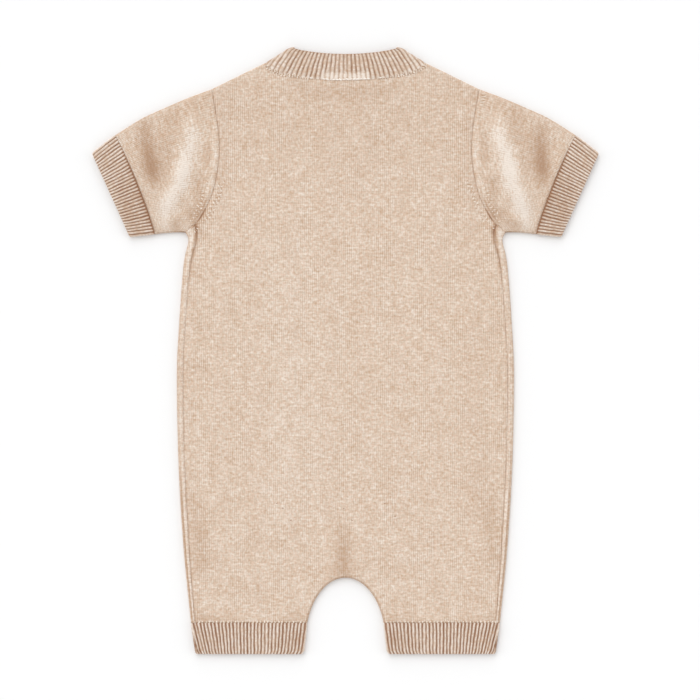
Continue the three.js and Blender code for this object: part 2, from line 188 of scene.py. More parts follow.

# Soft patches on the upper layer: painted shade in folds, beside creases and seams and below the neck
# band, painted highlight on ridges, and a few broad patches that are only darker or lighter cloth. Each
# row gives half, width, then reach, height and how much darker the cloth is painted there. It is painted
# lighter where that amount is below 0
SHADE_AND_TONE_PATCHES = [
    # Sleeves and their cuffs
    (BOTH, 6.5, [(180.0, 142, 0.02), (172.5, 128, 0.16), (166.0, 110, 0.30), (160.5, 95, 0.22)]),
    (-1, 5.6, [(155.0, 173, 0.22), (153.5, 160, 0.44), (151.3, 150, 0.66),
               (149.8, 142, 0.72), (148.5, 135, 0.60), (146.5, 126, 0.12)]),
    (-1, 16.0, [(116.0, 186, 0.06), (140.0, 178, 0.05), (164.0, 166, 0.04)]),
    (-1, 7.0, [(143.0, 162, 0.10), (143.0, 138, 0.18)]),
    (-1, 8.0, [(133.0, 176, 0.10), (133.5, 152, 0.14), (137.5, 130, 0.12)]),
    (-1, 5.8, [(118.2, 173, -0.20), (118.5, 160, -0.45), (122.5, 148, -0.60), (125.0, 138, -0.75),
               (127.0, 129, -0.65), (132.0, 121, -0.50), (137.0, 112, -0.55), (140.0, 100, -0.25)]),
    (-1, 3.2, [(105.5, 155, 0.26), (106.5, 143, 0.16)]),
    (-1, 4.8, [(111.5, 134, 0.20), (112.0, 118, 0.18), (112.0, 105, 0.32), (113.0, 99, 0.12)]),
    (-1, 4.0, [(118.0, 113, 0.08), (118.5, 104, 0.26)]),
    (-1, 4.2, [(130.5, 99, 0.20), (130.0, 94, 0.22)]),
    (-1, 1.3, [(126.0, 90.5, 0.40), (144.0, 89.5, 0.40)]),
    (-1, 3.6, [(167.0, 140, 0.06), (159.0, 120, 0.26), (153.0, 104, 0.32), (149.0, 94, 0.26)]),
    (1, 5.6, [(149.0, 169, 0.22), (150.5, 157, 0.48), (150.5, 148, 0.68),
              (151.3, 140, 0.72), (152.1, 132, 0.46), (150.0, 123, 0.10)]),
    (1, 16.0, [(120.0, 186, 0.03), (140.0, 178, 0.05), (164.0, 166, 0.04)]),
    (1, 8.0, [(140.0, 160, 0.14), (140.5, 138, 0.18)]),
    (1, 6.0, [(131.0, 184, 0.10), (131.0, 163, 0.14)]),
    (1, 5.8, [(116.0, 174, -0.20), (119.0, 162, -0.50), (123.5, 150, -0.62), (126.0, 140, -0.80),
              (128.0, 128, -0.65), (132.0, 120, -0.50), (136.0, 109, -0.60), (140.0, 98, -0.30)]),
    (1, 3.4, [(107.0, 167, 0.12), (107.0, 148, 0.20)]),
    (1, 4.5, [(112.8, 131, 0.24), (112.8, 122, 0.16)]),
    (1, 4.6, [(113.0, 112, 0.22), (115.0, 105, 0.40), (120.0, 105, 0.22)]),
    (1, 5.0, [(127.0, 98, 0.20), (132.0, 95, 0.20)]),
    (1, 1.3, [(126.0, 90.5, 0.36), (144.0, 89.5, 0.36)]),
    (1, 3.6, [(167.0, 140, 0.06), (159.0, 120, 0.28), (153.0, 104, 0.34), (149.0, 94, 0.26)]),
    # Armhole seams and underarms
    (-1, 0.7, [(102.6, 129, 0.02), (103.1, 124.8, 0.25), (109.0, 110.6, 0.45),
               (115.2, 100.8, 0.45), (120.0, 96.5, 0.1)]),
    (-1, 0.6, [(107.5, 108.5, 0.3), (110.0, 104.2, 0.9), (112.6, 100.1, 0.8), (113.6, 98.0, 0.2)]),
    (-1, 0.6, [(114.1, 97.2, 0.9), (118.0, 94.2, 0.5)]),
    (-1, 0.8, [(114.3, 94.8, 0.9), (114.4, 90.4, 0.5), (115.0, 84.0, 0.2)]),
    (-1, 0.6, [(110.9, 93.5, 0.6), (110.6, 90.4, 0.5), (110.5, 88.0, 0.1)]),
    (-1, 1.1, [(114.2, 94.5, 0.55), (115.3, 89.0, 0.45), (116.5, 80, 0.30),
               (118.0, 70, 0.20), (119.5, 60, 0.02)]),
    (-1, 0.8, [(111.0, 94.6, 0.50), (110.0, 90.4, 0.45), (109.6, 88.5, 0.05)]),
    (-1, 1.3, [(121.0, 92.0, -0.30), (118.0, 87.5, -0.40), (119.3, 78, -0.25),
               (122.0, 60, -0.10), (124.5, 20, -0.05)]),
    (1, 0.6, [(108.0, 108.0, 0.3), (110.5, 103.6, 0.8), (112.8, 99.8, 0.7), (113.7, 98.0, 0.2)]),
    (1, 0.6, [(114.3, 97.0, 0.8), (117.6, 94.4, 0.4)]),
    (1, 0.8, [(114.0, 94.6, 0.8), (114.2, 90.8, 0.5), (114.8, 85.0, 0.2)]),
    (1, 0.7, [(102.6, 129, 0.02), (103.1, 124.8, 0.22), (109.0, 110.6, 0.45),
              (115.2, 100.8, 0.50), (120.0, 96.5, 0.1)]),
    (1, 1.1, [(114.6, 94.0, 0.50), (115.6, 88.0, 0.45), (117.0, 78, 0.28),
              (118.6, 68, 0.20), (119.8, 60, 0.02)]),
    (1, 0.8, [(112.2, 93.6, 0.45), (112.9, 89.8, 0.40), (113.0, 88.0, 0.05)]),
    (1, 1.3, [(121.0, 92.0, -0.35), (118.0, 87.5, -0.40), (119.3, 78, -0.25),
              (122.0, 60, -0.10), (124.5, 20, -0.05)]),
    # Below the neck band
    (-1, 5.5, [(4.0, 197.4, 0.10), (16.0, 197.6, 0.12), (26.0, 198.4, 0.11), (38.0, 203.0, 0.08)]),
    (-1, 45.0, [(80.0, 186, 0.055), (0.0, 180, 0.055)]),
    (1, 5.5, [(4.0, 197.4, 0.10), (15.0, 197.2, 0.13), (25.0, 198.6, 0.12), (37.0, 203.0, 0.09)]),
    (1, 45.0, [(80.0, 186, 0.055), (8.0, 180, 0.01)]),
    # Sides and middle of the body
    (-1, 22.0, [(44.0, 72, -0.05), (42.0, 0, -0.06), (42.0, -110, -0.08)]),
    (-1, 7.0, [(116.0, -112, 0.04), (113.5, -128, 0.14), (112.0, -148, 0.18), (111.0, -168, 0.14)]),
    (-1, 5.0, [(116.0, 22, 0.05), (113.0, 17, 0.10), (106.0, 18, 0.03)]),
    (-1, 5.0, [(117.0, -12, 0.08), (112.0, -13, 0.10), (104.0, -12, 0.02)]),
    (1, 16.0, [(98.0, 140, 0.03), (98.0, -20, 0.04), (104.0, -118, 0.06)]),
    (1, 7.0, [(112.0, -116, 0.06), (111.5, -134, 0.15), (112.0, -152, 0.15), (113.0, -168, 0.12)]),
    (1, 5.0, [(117.0, 20, 0.08), (112.0, 18, 0.07), (104.0, 19, 0.02)]),
    (1, 5.0, [(118.0, -12, 0.08), (112.0, -13, 0.10), (104.0, -11, 0.03)]),
    # Above the arch
    (-1, 5.5, [(0.0, -140, 0.06), (0.5, -152, 0.12), (0.5, -162, 0.15), (0.0, -172, 0.13)]),
    (-1, 5.0, [(4.0, -150, 0.04), (6.0, -162, 0.12), (8.0, -171, 0.10)]),
    (-1, 1.0, [(4.0, -168.5, 0.14), (12.0, -169.5, 0.08)]),
    (1, 6.5, [(0.0, -140, 0.06), (0.5, -152, 0.16), (0.5, -162, 0.20), (0.0, -172, 0.18)]),
    (1, 1.0, [(8.0, -168.5, 0.18), (14.0, -167.5, 0.10)]),
    # Leg ends and their cuffs
    (BOTH, 9.0, [(31.0, -222, 0.20), (42.0, -222, 0.20), (54.0, -221, 0.02)]),
    (-1, 3.0, [(112.0, -204.5, 0.22), (104.0, -206, 0.10), (85.0, -206.5, 0.06)]),
    (-1, 3.5, [(52.0, -206.5, 0.08), (40.0, -205.5, 0.16), (34.0, -204.0, 0.12)]),
    (-1, 9.0, [(112.0, -220, 0.08), (97.0, -220, 0.08), (78.0, -222, 0.01)]),
    (-1, 1.3, [(112.6, -231.6, 0.60), (113.6, -231.0, 0.60)]),
    (1, 3.0, [(112.0, -204.5, 0.22), (104.0, -206, 0.10), (92.0, -206.5, 0.06)]),
    (1, 3.5, [(50.0, -206.5, 0.08), (40.0, -205.5, 0.16), (34.0, -204.0, 0.12)]),
    (1, 9.0, [(112.0, -220, 0.12), (97.0, -220, 0.10), (78.0, -222, 0.02)]),
    (1, 1.2, [(112.8, -231.8, 0.30), (113.6, -231.2, 0.30)]),
]

# Kinds of loops and stitches: spacing along the row, turn across it, length and width
LINKING_LOOPS = (2.0, 50, 1.5, 1.0)
NARROWING_MARKS = (3.1, 60, 2.0, 0.9)
ARMHOLE_LOOPS = (2.4, 82, 2.4, 1.1)
LEG_SEAM_LOOPS = (86.0 / LEG_CUFF["ribs"], 90, 2.0, 1.2)
SHOULDER_LOOPS = (1.9, 75, 3.6, 0.8)
PALE_STITCHES = (2.4, 4, 2.6, 1.1)

# Rows of loops beside a seam: their kind, distance from the seam, first and last point of the seam,
# lift, spread and seed. The distance is below 0 on the body, and above 0 on the band or the sleeve
NECK_POINTS = 90
NECK_ROWS = [
    (LINKING_LOOPS, 0.9, 50, 90, 0.35, 0.5, 7),
    (LINKING_LOOPS, -0.9, 56, 90, 0.15, 0.5, 13),
    (LINKING_LOOPS, -0.2, 36, 90, 0.15, 0.5, 17),
]
ARMHOLE_POINTS = 200
ARMHOLE_ROWS = [
    (NARROWING_MARKS, -3.6, 124, 196, 0.1, 0.8, 23),
    (NARROWING_MARKS, -5.6, 118, 176, 0.1, 0.8, 29),
    (NARROWING_MARKS, 3.8, 120, 190, 0.1, 0.8, 37),
    (NARROWING_MARKS, 5.8, 124, 178, 0.1, 0.8, 43),
    (ARMHOLE_LOOPS, 2.7, 64, 134, 0.2, 0.4, 31),
]
RIGHT_SHOULDER_ROW = (SHOULDER_LOOPS, 4.2, 4, 20, 0.12, 0.2, 61)
# Stretches of the pale row in the neck seam: half, and where the stretch starts and ends
PALE_ROWS = [(-1, 0, 17.5), (-1, 24.5, 28), (1, 0, 19), (1, 26, 28)]
# Dark fibres above the legs: place and angle
FLECKS = [(-52.7, -117.5, 20), (-48.1, -121.3, -15), (-42.0, -130.6, 5), (-1.2, -121.3, 30),
          (5.0, -130.6, -25), (30.4, -117.5, 10), (38.1, -127.5, -5)]

# Stage, in metres. Each lamp has a strength, the angle that it fills and the place that it shines
# from, and the table is a little below the romper so that their faces don't meet
LAMPS = [
    ("Key", 1.1, 0.9, (-0.4, 0.75, 1.2)),
    ("Left", 0.6, 0.7, (-1.0, 0.0, 0.42)),
    ("Right", 0.6, 0.7, (1.0, 0.0, 0.42)),
    ("Above", 0.7, 0.7, (0.0, 1.0, 0.42)),
    ("Below", 0.5, 0.7, (0.0, -1.0, 0.42)),
]
ROOM_LIGHT = 0.5
TABLE_WIDTH = 6
TABLE_GAP = 0.05 * MM
VIEW_WIDTH = 0.539
VIEW_CENTRE = (0.0035, 0.0003)


class RomperSizes(bpy.types.PropertyGroup):
    """Sizes of the knit."""

    grid: bpy.props.FloatProperty(
        name="Grid", description="Distance between the points of the plain cloth",
        default=2.0 * MM, unit="LENGTH")
    rib_height: bpy.props.FloatProperty(
        name="Rib height", description="How far a rib stands out of its groove",
        default=0.9 * MM, unit="LENGTH")
    rib_columns: bpy.props.IntProperty(
        name="Rib columns", description="How many faces lie across one rib", default=8)
    wale: bpy.props.FloatProperty(
        name="Wale", description="Width of one column of stitches in the plain knit",
        default=1.58 * MM, unit="LENGTH")
    course: bpy.props.FloatProperty(
        name="Course", description="Height of one row of stitches in the plain knit",
        default=1.2 * MM, unit="LENGTH")


class RomperColours(bpy.types.PropertyGroup):
    """Colours of the yarn, of its painted shade and highlight, and of the table."""

    yarn: bpy.props.FloatVectorProperty(
        name="Yarn", description="Main colour of the heathered yarn",
        default=(0.69, 0.565, 0.452), subtype="COLOR", size=3)
    rosy_yarn: bpy.props.FloatVectorProperty(
        name="Rosy yarn", description="Colour of the yarn where it took the dye more warmly",
        default=(0.735, 0.556, 0.43), subtype="COLOR", size=3)
    # Light fibre is also the colour of the painted highlight, and dark fibre that of the painted shade
    light_fibre_and_highlight: bpy.props.FloatVectorProperty(
        name="Light fibre", description="Undyed fibre in the yarn",
        default=(0.87, 0.77, 0.68), subtype="COLOR", size=3)
    dark_fibre_and_shade: bpy.props.FloatVectorProperty(
        name="Dark fibre", description="Dyed fibre in the yarn",
        default=(0.58, 0.39, 0.262), subtype="COLOR", size=3)
    # Painted shade: the colour that rib grooves, stitch gaps, seams and folds are painted toward
    groove: bpy.props.FloatVectorProperty(
        name="Groove", description="Colour deep between ribs and in seams",
        default=(0.30, 0.145, 0.075), subtype="COLOR", size=3)
    loop_top: bpy.props.FloatVectorProperty(
        name="Loop top", description="Colour of a loop where it catches the light",
        default=(0.92, 0.82, 0.72), subtype="COLOR", size=3)
    loop_gap: bpy.props.FloatVectorProperty(
        name="Loop gap", description="Colour in the shade between loops",
        default=(0.50, 0.32, 0.21), subtype="COLOR", size=3)
    thread: bpy.props.FloatVectorProperty(
        name="Thread", description="Colour of the pale row of stitches in the neck seam",
        default=(0.95, 0.88, 0.80), subtype="COLOR", size=3)
    fleck: bpy.props.FloatVectorProperty(
        name="Fleck", description="Colour of the few dark fibres caught in the yarn",
        default=(0.36, 0.15, 0.08), subtype="COLOR", size=3)
    table: bpy.props.FloatVectorProperty(
        name="Table", description="Colour of the surface that the romper lies on",
        default=(0.93, 0.93, 0.93), subtype="COLOR", size=3)


# Lines on the flat garment


def along(points, shares):
    """Points at shares of the length of a line."""
    points = np.asarray(points, float)
    steps = np.linalg.norm(np.diff(points, axis=0), axis=1)
    lengths = np.concatenate([[0], np.cumsum(steps)])
    at = np.asarray(shares) * lengths[-1]
    return np.stack([np.interp(at, lengths, column) for column in points.T], axis=-1)


def smooth_line(table, shares):
    """Points at shares of the length of a smooth line through the rows of a table."""
    knots = np.asarray(table, float)
    padded = np.vstack([knots[:1], knots, knots[-1:]])
    place = np.linspace(0, len(knots) - 1, 60 * len(knots))
    first = np.minimum(place.astype(int), len(knots) - 2)
    part = (place - first)[:, None]
    a, b, c, d = (padded[first + offset] for offset in range(4))
    curve = 0.5 * (2 * b + (c - a) * part + (2 * a - 5 * b + 4 * c - d) * part ** 2
                   + (3 * b - a - 3 * c + d) * part ** 3)
    return along(curve, shares)


def unit(vector):
    """A vector, or each row of an array, at a length of one."""
    vector = np.asarray(vector, float)
    return vector / np.linalg.norm(vector, axis=-1, keepdims=True)


def moved_line(points, distance):
    """A line moved to its left by a distance."""
    points = np.asarray(points, float)
    direction = unit(np.gradient(points, axis=0))
    return points + distance * np.stack([-direction[:, 1], direction[:, 0]], axis=1)


def mix(first, second, share):
    """The value at a share of the way from the first to the second."""
    return np.asarray(first) * (1 - np.asarray(share)) + np.asarray(second) * np.asarray(share)


def distance_to(places, line):
    """How far each place is from a line, and the share of the line's length where it is nearest."""
    line = np.asarray(line, float)
    lengths = np.linalg.norm(np.diff(line, axis=0), axis=1)
    starts = np.concatenate([[0], np.cumsum(lengths)])
    best = np.full(places.shape[:-1], np.inf)
    share = np.zeros(places.shape[:-1])
    for index, start in enumerate(line[:-1]):
        run = line[index + 1] - start
        part = np.clip(((places - start) @ run) / max(run @ run, 1e-9), 0, 1)
        away = np.linalg.norm(places - start - part[..., None] * run, axis=-1)
        nearer = away < best
        best = np.where(nearer, away, best)
        share = np.where(nearer, (starts[index] + part * lengths[index]) / starts[-1], share)
    return best, share


def graded(length, step, first=False, last=False):
    """Shares of a length a step apart, and closer together at an end that a seam lies on."""
    start = SEAM_STEPS if first else SEAM_STEPS[:1]
    end = length - (SEAM_STEPS[::-1] if last else SEAM_STEPS[:1])
    count = max(int(round((end[0] - start[-1]) / step)), 1)
    middle = np.linspace(start[-1], end[0], count + 1)
    return np.concatenate([start[:-1], middle, end[1:]]) / length


def along_creases(side, places, rows):
    """The sum of the amounts that the rows of CREASES or SHADE_AND_TONE_PATCHES give to each place."""
    signed = places * (side, 1)
    total = np.zeros(places.shape[:-1])
    for half, width, stops in rows:
        stops = np.asarray(stops, float)
        steps = np.linalg.norm(np.diff(stops[:, :2], axis=0), axis=1)
        knots = np.concatenate([[0], np.cumsum(steps)]) / steps.sum()
        for line_side in HALVES if half == BOTH else (half,):
            away, share = distance_to(signed, stops[:, :2] * (line_side, 1))
            total += np.interp(share, knots, stops[:, 2]) * np.exp(-(away / width) ** 2)
    return total


def rise(side, places):
    """How far creases and ripples lift the upper layer at each place."""
    x, y = side * places[..., 0], places[..., 1]
    ripple = np.sin(x / 19 + 1.3 * np.sin(y / 47)) * np.sin(y / 31 + 0.8 * np.cos(x / 53))
    return along_creases(side, places, CREASES) + 0.15 * (1 + ripple)


def seam_look(places, seams):
    """Relief and painted shade beside seams: a dip with a soft bulge next to it, and a painted dark line
    of shade along it.
    """
    relief, painted_shade_and_tone = np.zeros(places.shape[:-1]), np.zeros(places.shape[:-1])
    for line, (depth, width, dark, dark_width) in seams:
        away, _ = distance_to(places, line)
        relief -= depth * np.exp(-(away / width) ** 2)
        relief += 0.25 * depth * np.exp(-((away - 3 * width) / (1.7 * width)) ** 2)
        painted_shade_and_tone += dark * np.exp(-(away / dark_width) ** 2)
    return relief, painted_shade_and_tone


# Cloth as a net of wall points


def cloth_net(side, places, turns, rolls, raised, knit, painted_shade_and_tone, wear_and_shade=0.0, seamed=False):
    """A net of points on the outer and inner face of the cloth of one half of the garment.

    A turn is 180 on the upper layer and 0 on the layer below, and between them the cloth goes the
    whole of its roll beyond its flat end. Raised is how far the outer and the inner face stand out
    of their usual place. Missing points are NaN.
    """
    shape = places.shape[:2]
    angle = np.radians(np.broadcast_to(turns, shape))
    out, up = np.sin(angle), -np.cos(angle)
    upper = np.maximum(up, 0)
    lift = upper * rise(side, places)
    outer_raised, inner_raised = (np.broadcast_to(amount, shape) for amount in raised)
    meeting = np.sign(up) * mix(SEAM_GAP / 2, HOLLOW_RADIUS, np.abs(up))
    inner_up = np.where(np.broadcast_to(seamed, shape), meeting, up * HOLLOW_RADIUS)

    def face(share, heights):
        flat = places + rolls * (out * share)[..., None]
        return np.stack([side * flat[..., 0], flat[..., 1], EDGE_RADIUS + heights + lift], axis=-1)

    return {
        "outer": face(1 + outer_raised / EDGE_RADIUS, up * (EDGE_RADIUS + outer_raised)),
        "inner": face(HOLLOW_RADIUS / EDGE_RADIUS, inner_up + np.sign(up) * inner_raised),
        "knit": np.broadcast_to(knit, shape + (2,)),
        # Painted shade and highlight of the patches, on the upper layer only
        SHADE_AND_TONE_ATTRIBUTE: np.broadcast_to(painted_shade_and_tone, shape) + upper * along_creases(side, places, SHADE_AND_TONE_PATCHES),
        WEAR_AND_SHADE_ATTRIBUTE: np.broadcast_to(wear_and_shade, shape),
    }


def joined(nets, key):
    """One kind of value of all nets, in one list of points."""
    return np.concatenate([net[key].reshape(-1, *net[key].shape[2:]) for net in nets])


def cells_of(net, start):
    """The cells of a net as four point numbers each, turned so that they face outwards."""
    rows, columns = net["outer"].shape[:2]
    number = start + np.arange(rows * columns).reshape(rows, columns)
    corners = [number[:-1, :-1], number[:-1, 1:], number[1:, 1:], number[1:, :-1]]
    there = ~np.isnan(net["outer"][..., 0]).ravel()
    cells = np.stack(corners, axis=-1).reshape(-1, 4)
    cells = cells[there[cells - start].all(axis=1)]
    a, b, c, d = (net["outer"].reshape(-1, 3)[cells[:, corner] - start] for corner in range(4))
    outward = (net["outer"] - net["inner"]).reshape(-1, 3)[cells[:, 0] - start]
    facing = (np.cross(c - a, d - b) * outward).sum()
    return cells if facing > 0 else cells[:, ::-1]


def cloth_mesh(name, nets):
    """A closed shell from nets: an outer face, an inner face, and a rim along every free edge."""
    starts = np.cumsum([0] + [net["outer"].shape[0] * net["outer"].shape[1] for net in nets])
    cells = np.concatenate([cells_of(net, start) for net, start in zip(nets, starts)])
    faces = np.concatenate([joined(nets, "outer"), joined(nets, "inner")])
    knit = np.tile(joined(nets, "knit"), (2, 1))
    count = len(faces) // 2
    used = np.unique(np.concatenate([cells.ravel(), cells.ravel() + count]))
    keys, first, inverse = np.unique(
        np.round(faces[used] * 2000).astype(np.int64), axis=0, return_index=True, return_inverse=True)
    vertex = np.zeros(len(faces), int)
    vertex[used] = inverse.ravel()

    ahead = np.stack([cells.ravel(), np.roll(cells, -1, axis=1).ravel()], axis=1)
    merged = vertex[ahead]
    code = merged[:, 0] * (len(keys) + 1) + merged[:, 1]
    opposite = merged[:, 1] * (len(keys) + 1) + merged[:, 0]
    free = ahead[~np.isin(code, opposite)]
    rims = np.stack([free[:, 1], free[:, 0], free[:, 0] + count, free[:, 1] + count], axis=1)
    quads = np.concatenate([cells, cells[:, ::-1] + count, rims])

    mesh = bpy.data.meshes.new(name)
    mesh.from_pydata((faces[used][first] * MM).tolist(), [], vertex[quads].tolist())
    layer = mesh.uv_layers.new(name=KNIT_MAP)
    layer.data.foreach_set("uv", knit[quads.ravel()].astype(np.float32).ravel())
    for key in (SHADE_AND_TONE_ATTRIBUTE, WEAR_AND_SHADE_ATTRIBUTE):
        values = np.tile(joined(nets, key), 2)[used][first]
        mesh.attributes.new(key, "FLOAT", "POINT").data.foreach_set("value", values.astype(np.float32))
    mesh.polygons.foreach_set("use_smooth", np.ones(len(quads), bool))
    mesh.update()
    piece = bpy.data.objects.new(name, mesh)
    bpy.context.scene.collection.objects.link(piece)
    return piece


# Body


def armhole_at(shares):
    """Points of the armhole seam at shares of its length, from the shoulder to the underarm."""
    return smooth_line(ARMHOLE, shares)


def shoulder_roll():
    """The roll of the fold along the shoulder and the sleeve's top, at the armhole."""
    top, below = armhole_at([0, 1 / 11])
    return unit(top - below) * EDGE_RADIUS


def underarm_roll():
    """The roll of the fold along the sleeve's underside, at the armhole."""
    above, end = armhole_at([10 / 11, 1])
    return unit(end - above) * EDGE_RADIUS


def neck_line(drop):
    """Half of the neck seam, from the middle line up to the shoulder."""
    angle = np.linspace(0, np.pi / 2, 60)
    return np.stack([NECK_REACH * np.sin(angle), NECK_HEIGHT - drop * np.cos(angle)], axis=1)


def side_rows(trunk, leg):
    """Flat ends of the rows below the underarm, with their rolls at the side and at the arch."""
    share = np.concatenate([trunk * TRUNK_SHARE, TRUNK_SHARE + leg[1:] * (1 - TRUNK_SHARE)])
    down = share ** SIDE_GROWTH
    settled = np.clip(down / SIDE_TOP_SHARE, 0, 1)[:, None]
    roll = mix(underarm_roll(), (EDGE_RADIUS, 0), settled)
    outer = smooth_line(SIDE, down) - roll
    outer[0] = ARMHOLE[-1]
    inward = unit(mix(-underarm_roll(), (-EDGE_RADIUS, 0), settled))

    top = mix(UNDERARM_MIDDLE_HEIGHT, ARCH_PEAK + EDGE_RADIUS, trunk)
    centre = ARCH_PEAK - ARCH_RISE
    angle = mix(np.pi / 2, np.arcsin((LEG_SEAM - centre) / ARCH_RISE), leg[1:])
    edge = np.stack([ARCH_HALF_WIDTH * np.cos(angle), centre + ARCH_RISE * np.sin(angle)], axis=1)
    slope = np.stack([-np.cos(angle) / ARCH_HALF_WIDTH, -np.sin(angle) / ARCH_RISE], axis=1)
    arch_roll = unit(slope) * EDGE_RADIUS
    arch_roll[-1] = (-EDGE_RADIUS, 0)
    inner = np.concatenate([np.stack([0 * top, top], axis=1), edge - arch_roll])
    arch = np.concatenate([np.full((len(top) - 1, 2), np.nan), [(0, -EDGE_RADIUS)], arch_roll])
    return down, inner, outer, roll, inward, arch


def panel_look(side, flat, neck, armhole_rows, down, is_back):
    """Relief, painted shade, and the deeper painted stitch shade near the armhole, of one half of the
    back or the front, most of it beside the seams.
    """
    relief, painted_shade_and_tone = seam_look(flat, [
        (flat[:armhole_rows + 1, -1], ARMHOLE_LOOK), (flat[armhole_rows:, -1], SIDE_LOOK),
        (flat[-1], CUFF_LOOK), (neck, NECK_LOOK)])
    if not is_back:
        relief = np.minimum(relief - 0.2 * rise(-side, flat), 0)
    # Painted shade in a line beside the side seam
    side_shade = np.interp(down, SIDE_DOWN, SIDE_SHADE)[:, None]
    line_width = mix(1.6, 0.8, np.minimum(down * 5, 1))[:, None]
    from_side, _ = distance_to(flat[armhole_rows:], flat[armhole_rows:, -1])
    painted_shade_and_tone[armhole_rows:] += side_shade * np.exp(-(from_side / line_width) ** 2)
    # Deeper painted shade between the stitches near the armhole
    from_armhole, _ = distance_to(flat, flat[:armhole_rows, -1])
    return relief, painted_shade_and_tone, -np.exp(-(from_armhole / 12) ** 2)


def panel_net(side, sizes, drop, is_back):
    """One half of the back, which lies on top, or of the front, which goes on round the sides."""
    step = sizes.grid / MM
    turn = 180 if is_back else 0
    armhole_length = np.linalg.norm(np.diff(armhole_at(np.linspace(0, 1, 50)), axis=0), axis=1).sum()
    underarm_share = 1 - (STRIP_WIDTH[0] + SEAM_GAP) / armhole_length if is_back else 1

    neck = along(neck_line(drop), np.linspace(0, 1, int(NECK_REACH / step)))
    shoulder_shares = graded(SHOULDER_LENGTH, step, last=True)[1:]
    shoulder = mix(neck[-1], ARMHOLE[0], shoulder_shares[:, None])
    top = np.concatenate([neck, shoulder])
    across = np.concatenate([
        np.linspace(0, NECK_SHARE, len(neck)), NECK_SHARE + (1 - NECK_SHARE) * shoulder_shares])

    yoke_down = graded(YOKE_LENGTH, step, first=True)[:-1, None, None]
    base_end = armhole_at(YOKE_SHARE)
    base = mix((0, YOKE_MIDDLE_HEIGHT), base_end, across[:, None])
    yoke = mix(top, base, yoke_down)
    drift = armhole_at(yoke_down[:, 0, 0] * YOKE_SHARE) - mix(ARMHOLE[0], base_end, yoke_down[:, 0])
    yoke = yoke + drift[:, None] * across[:, None]

    arm_shares = np.linspace(0, 1, int(ARMHOLE_BELOW_YOKE / step) + 1)
    arm_outer = armhole_at(mix(YOKE_SHARE, underarm_share, arm_shares))
    arm_height = mix(YOKE_MIDDLE_HEIGHT, UNDERARM_MIDDLE_HEIGHT, arm_shares)
    arm_inner = np.stack([np.zeros(len(arm_shares)), arm_height], axis=1)
    trunk = np.linspace(0, 1, int(TRUNK_LENGTH / step) + 1)
    leg = graded(LEG_LENGTH, step, last=True)
    down, inner, outer, roll, inward, arch = side_rows(trunk, leg)
    width = np.interp(down, STRIP_DOWN, STRIP_WIDTH)[:, None]
    side_end = outer + inward * (width + SEAM_GAP) if is_back else outer
    row_inner = np.concatenate([arm_inner[:-1], inner])
    row_outer = np.concatenate([arm_outer[:-1], side_end])
    flat = np.concatenate([yoke, mix(row_inner[:, None], row_outer[:, None], across[:, None])])

    armhole_rows = len(yoke) + len(arm_inner) - 1
    relief, painted_shade_and_tone, crisp = panel_look(side, flat, neck, armhole_rows, down, is_back)

    rows, columns = flat.shape[:2]
    lead = len(SEAMED_TURNS)
    tail = 0 if is_back else len(FOLD_TURNS) + len(STRIP_AT)
    shape = (rows + lead, lead + columns + tail)
    places = np.full(shape + (2,), np.nan)
    rolls = np.zeros(shape + (2,))
    turns = np.full(shape, float(turn))
    raised = np.zeros(shape)
    shade_and_tone_grid = np.zeros(shape)
    wear_and_shade = np.zeros(shape)
    seamed = np.zeros(shape, bool)
    edge_turns = 180 - SEAMED_TURNS if is_back else SEAMED_TURNS
    places[lead:, lead:lead + columns] = flat
    raised[lead:, lead:lead + columns] = relief
    shade_and_tone_grid[lead:, lead:lead + columns] = painted_shade_and_tone
    wear_and_shade[lead:, lead:lead + columns] = crisp

    first = len(neck) - 1
    places[:lead, lead + first:lead + columns] = top[first:]
    part = np.concatenate([[0], shoulder_shares])[:, None]
    rolls[:lead, lead + first:lead + columns] = mix(NECK_ROLL, shoulder_roll(), part)
    turns[:lead] = edge_turns[:, None]
    seamed[:lead] = True

    leg_start = lead + armhole_rows + len(trunk) - 1
    places[leg_start:, :lead] = places[leg_start:, lead:lead + 1]
    rolls[leg_start:, :lead] = arch[len(trunk) - 1:, None]
    turns[leg_start:, :lead] = edge_turns
    seamed[leg_start:, :lead] = True
    # Painted shade on the rounded edge of the arch
    shade_and_tone_grid[leg_start:, :lead] = 0.35

    if not is_back:
        side_shade = np.interp(down, SIDE_DOWN, SIDE_SHADE)[:, None]
        on_leg = np.clip((down - 0.55) / 0.15, 0, 1)[:, None]
        side_start = lead + armhole_rows
        fold = slice(lead + columns, lead + columns + len(FOLD_TURNS))
        strip = slice(lead + columns + len(FOLD_TURNS), shape[1])
        places[side_start:, fold] = outer[:, None]
        rolls[side_start:, fold] = roll[:, None]
        turns[side_start:, fold] = FOLD_TURNS[::-1]
        places[side_start:, strip] = outer[:, None] + (inward * width)[:, None] * STRIP_AT[:, None]
        turns[side_start:, strip] = 180
        bulge, beside_seam = np.sin(np.pi * np.minimum(STRIP_AT, 0.97)), STRIP_AT ** 6
        raised[side_start:, strip] = 0.5 * bulge - 0.3 * beside_seam
        # Painted shade beside the seam and in the fold, a painted highlight along the strip's bulge, and
        # a painted dark line of shade where the strip meets the fold beside the leg
        shade_and_tone_grid[side_start:, strip] = (side_shade * (1 - 0.5 * on_leg) * beside_seam
                                     - (0.08 + 0.2 * on_leg) * np.sin(np.pi * STRIP_AT))
        shade_and_tone_grid[side_start:, fold] = 0.25 * np.sin(np.radians(FOLD_TURNS[::-1]))
        shade_and_tone_grid[side_start:, strip.start - 1:strip.start + 1] += 0.5 * on_leg

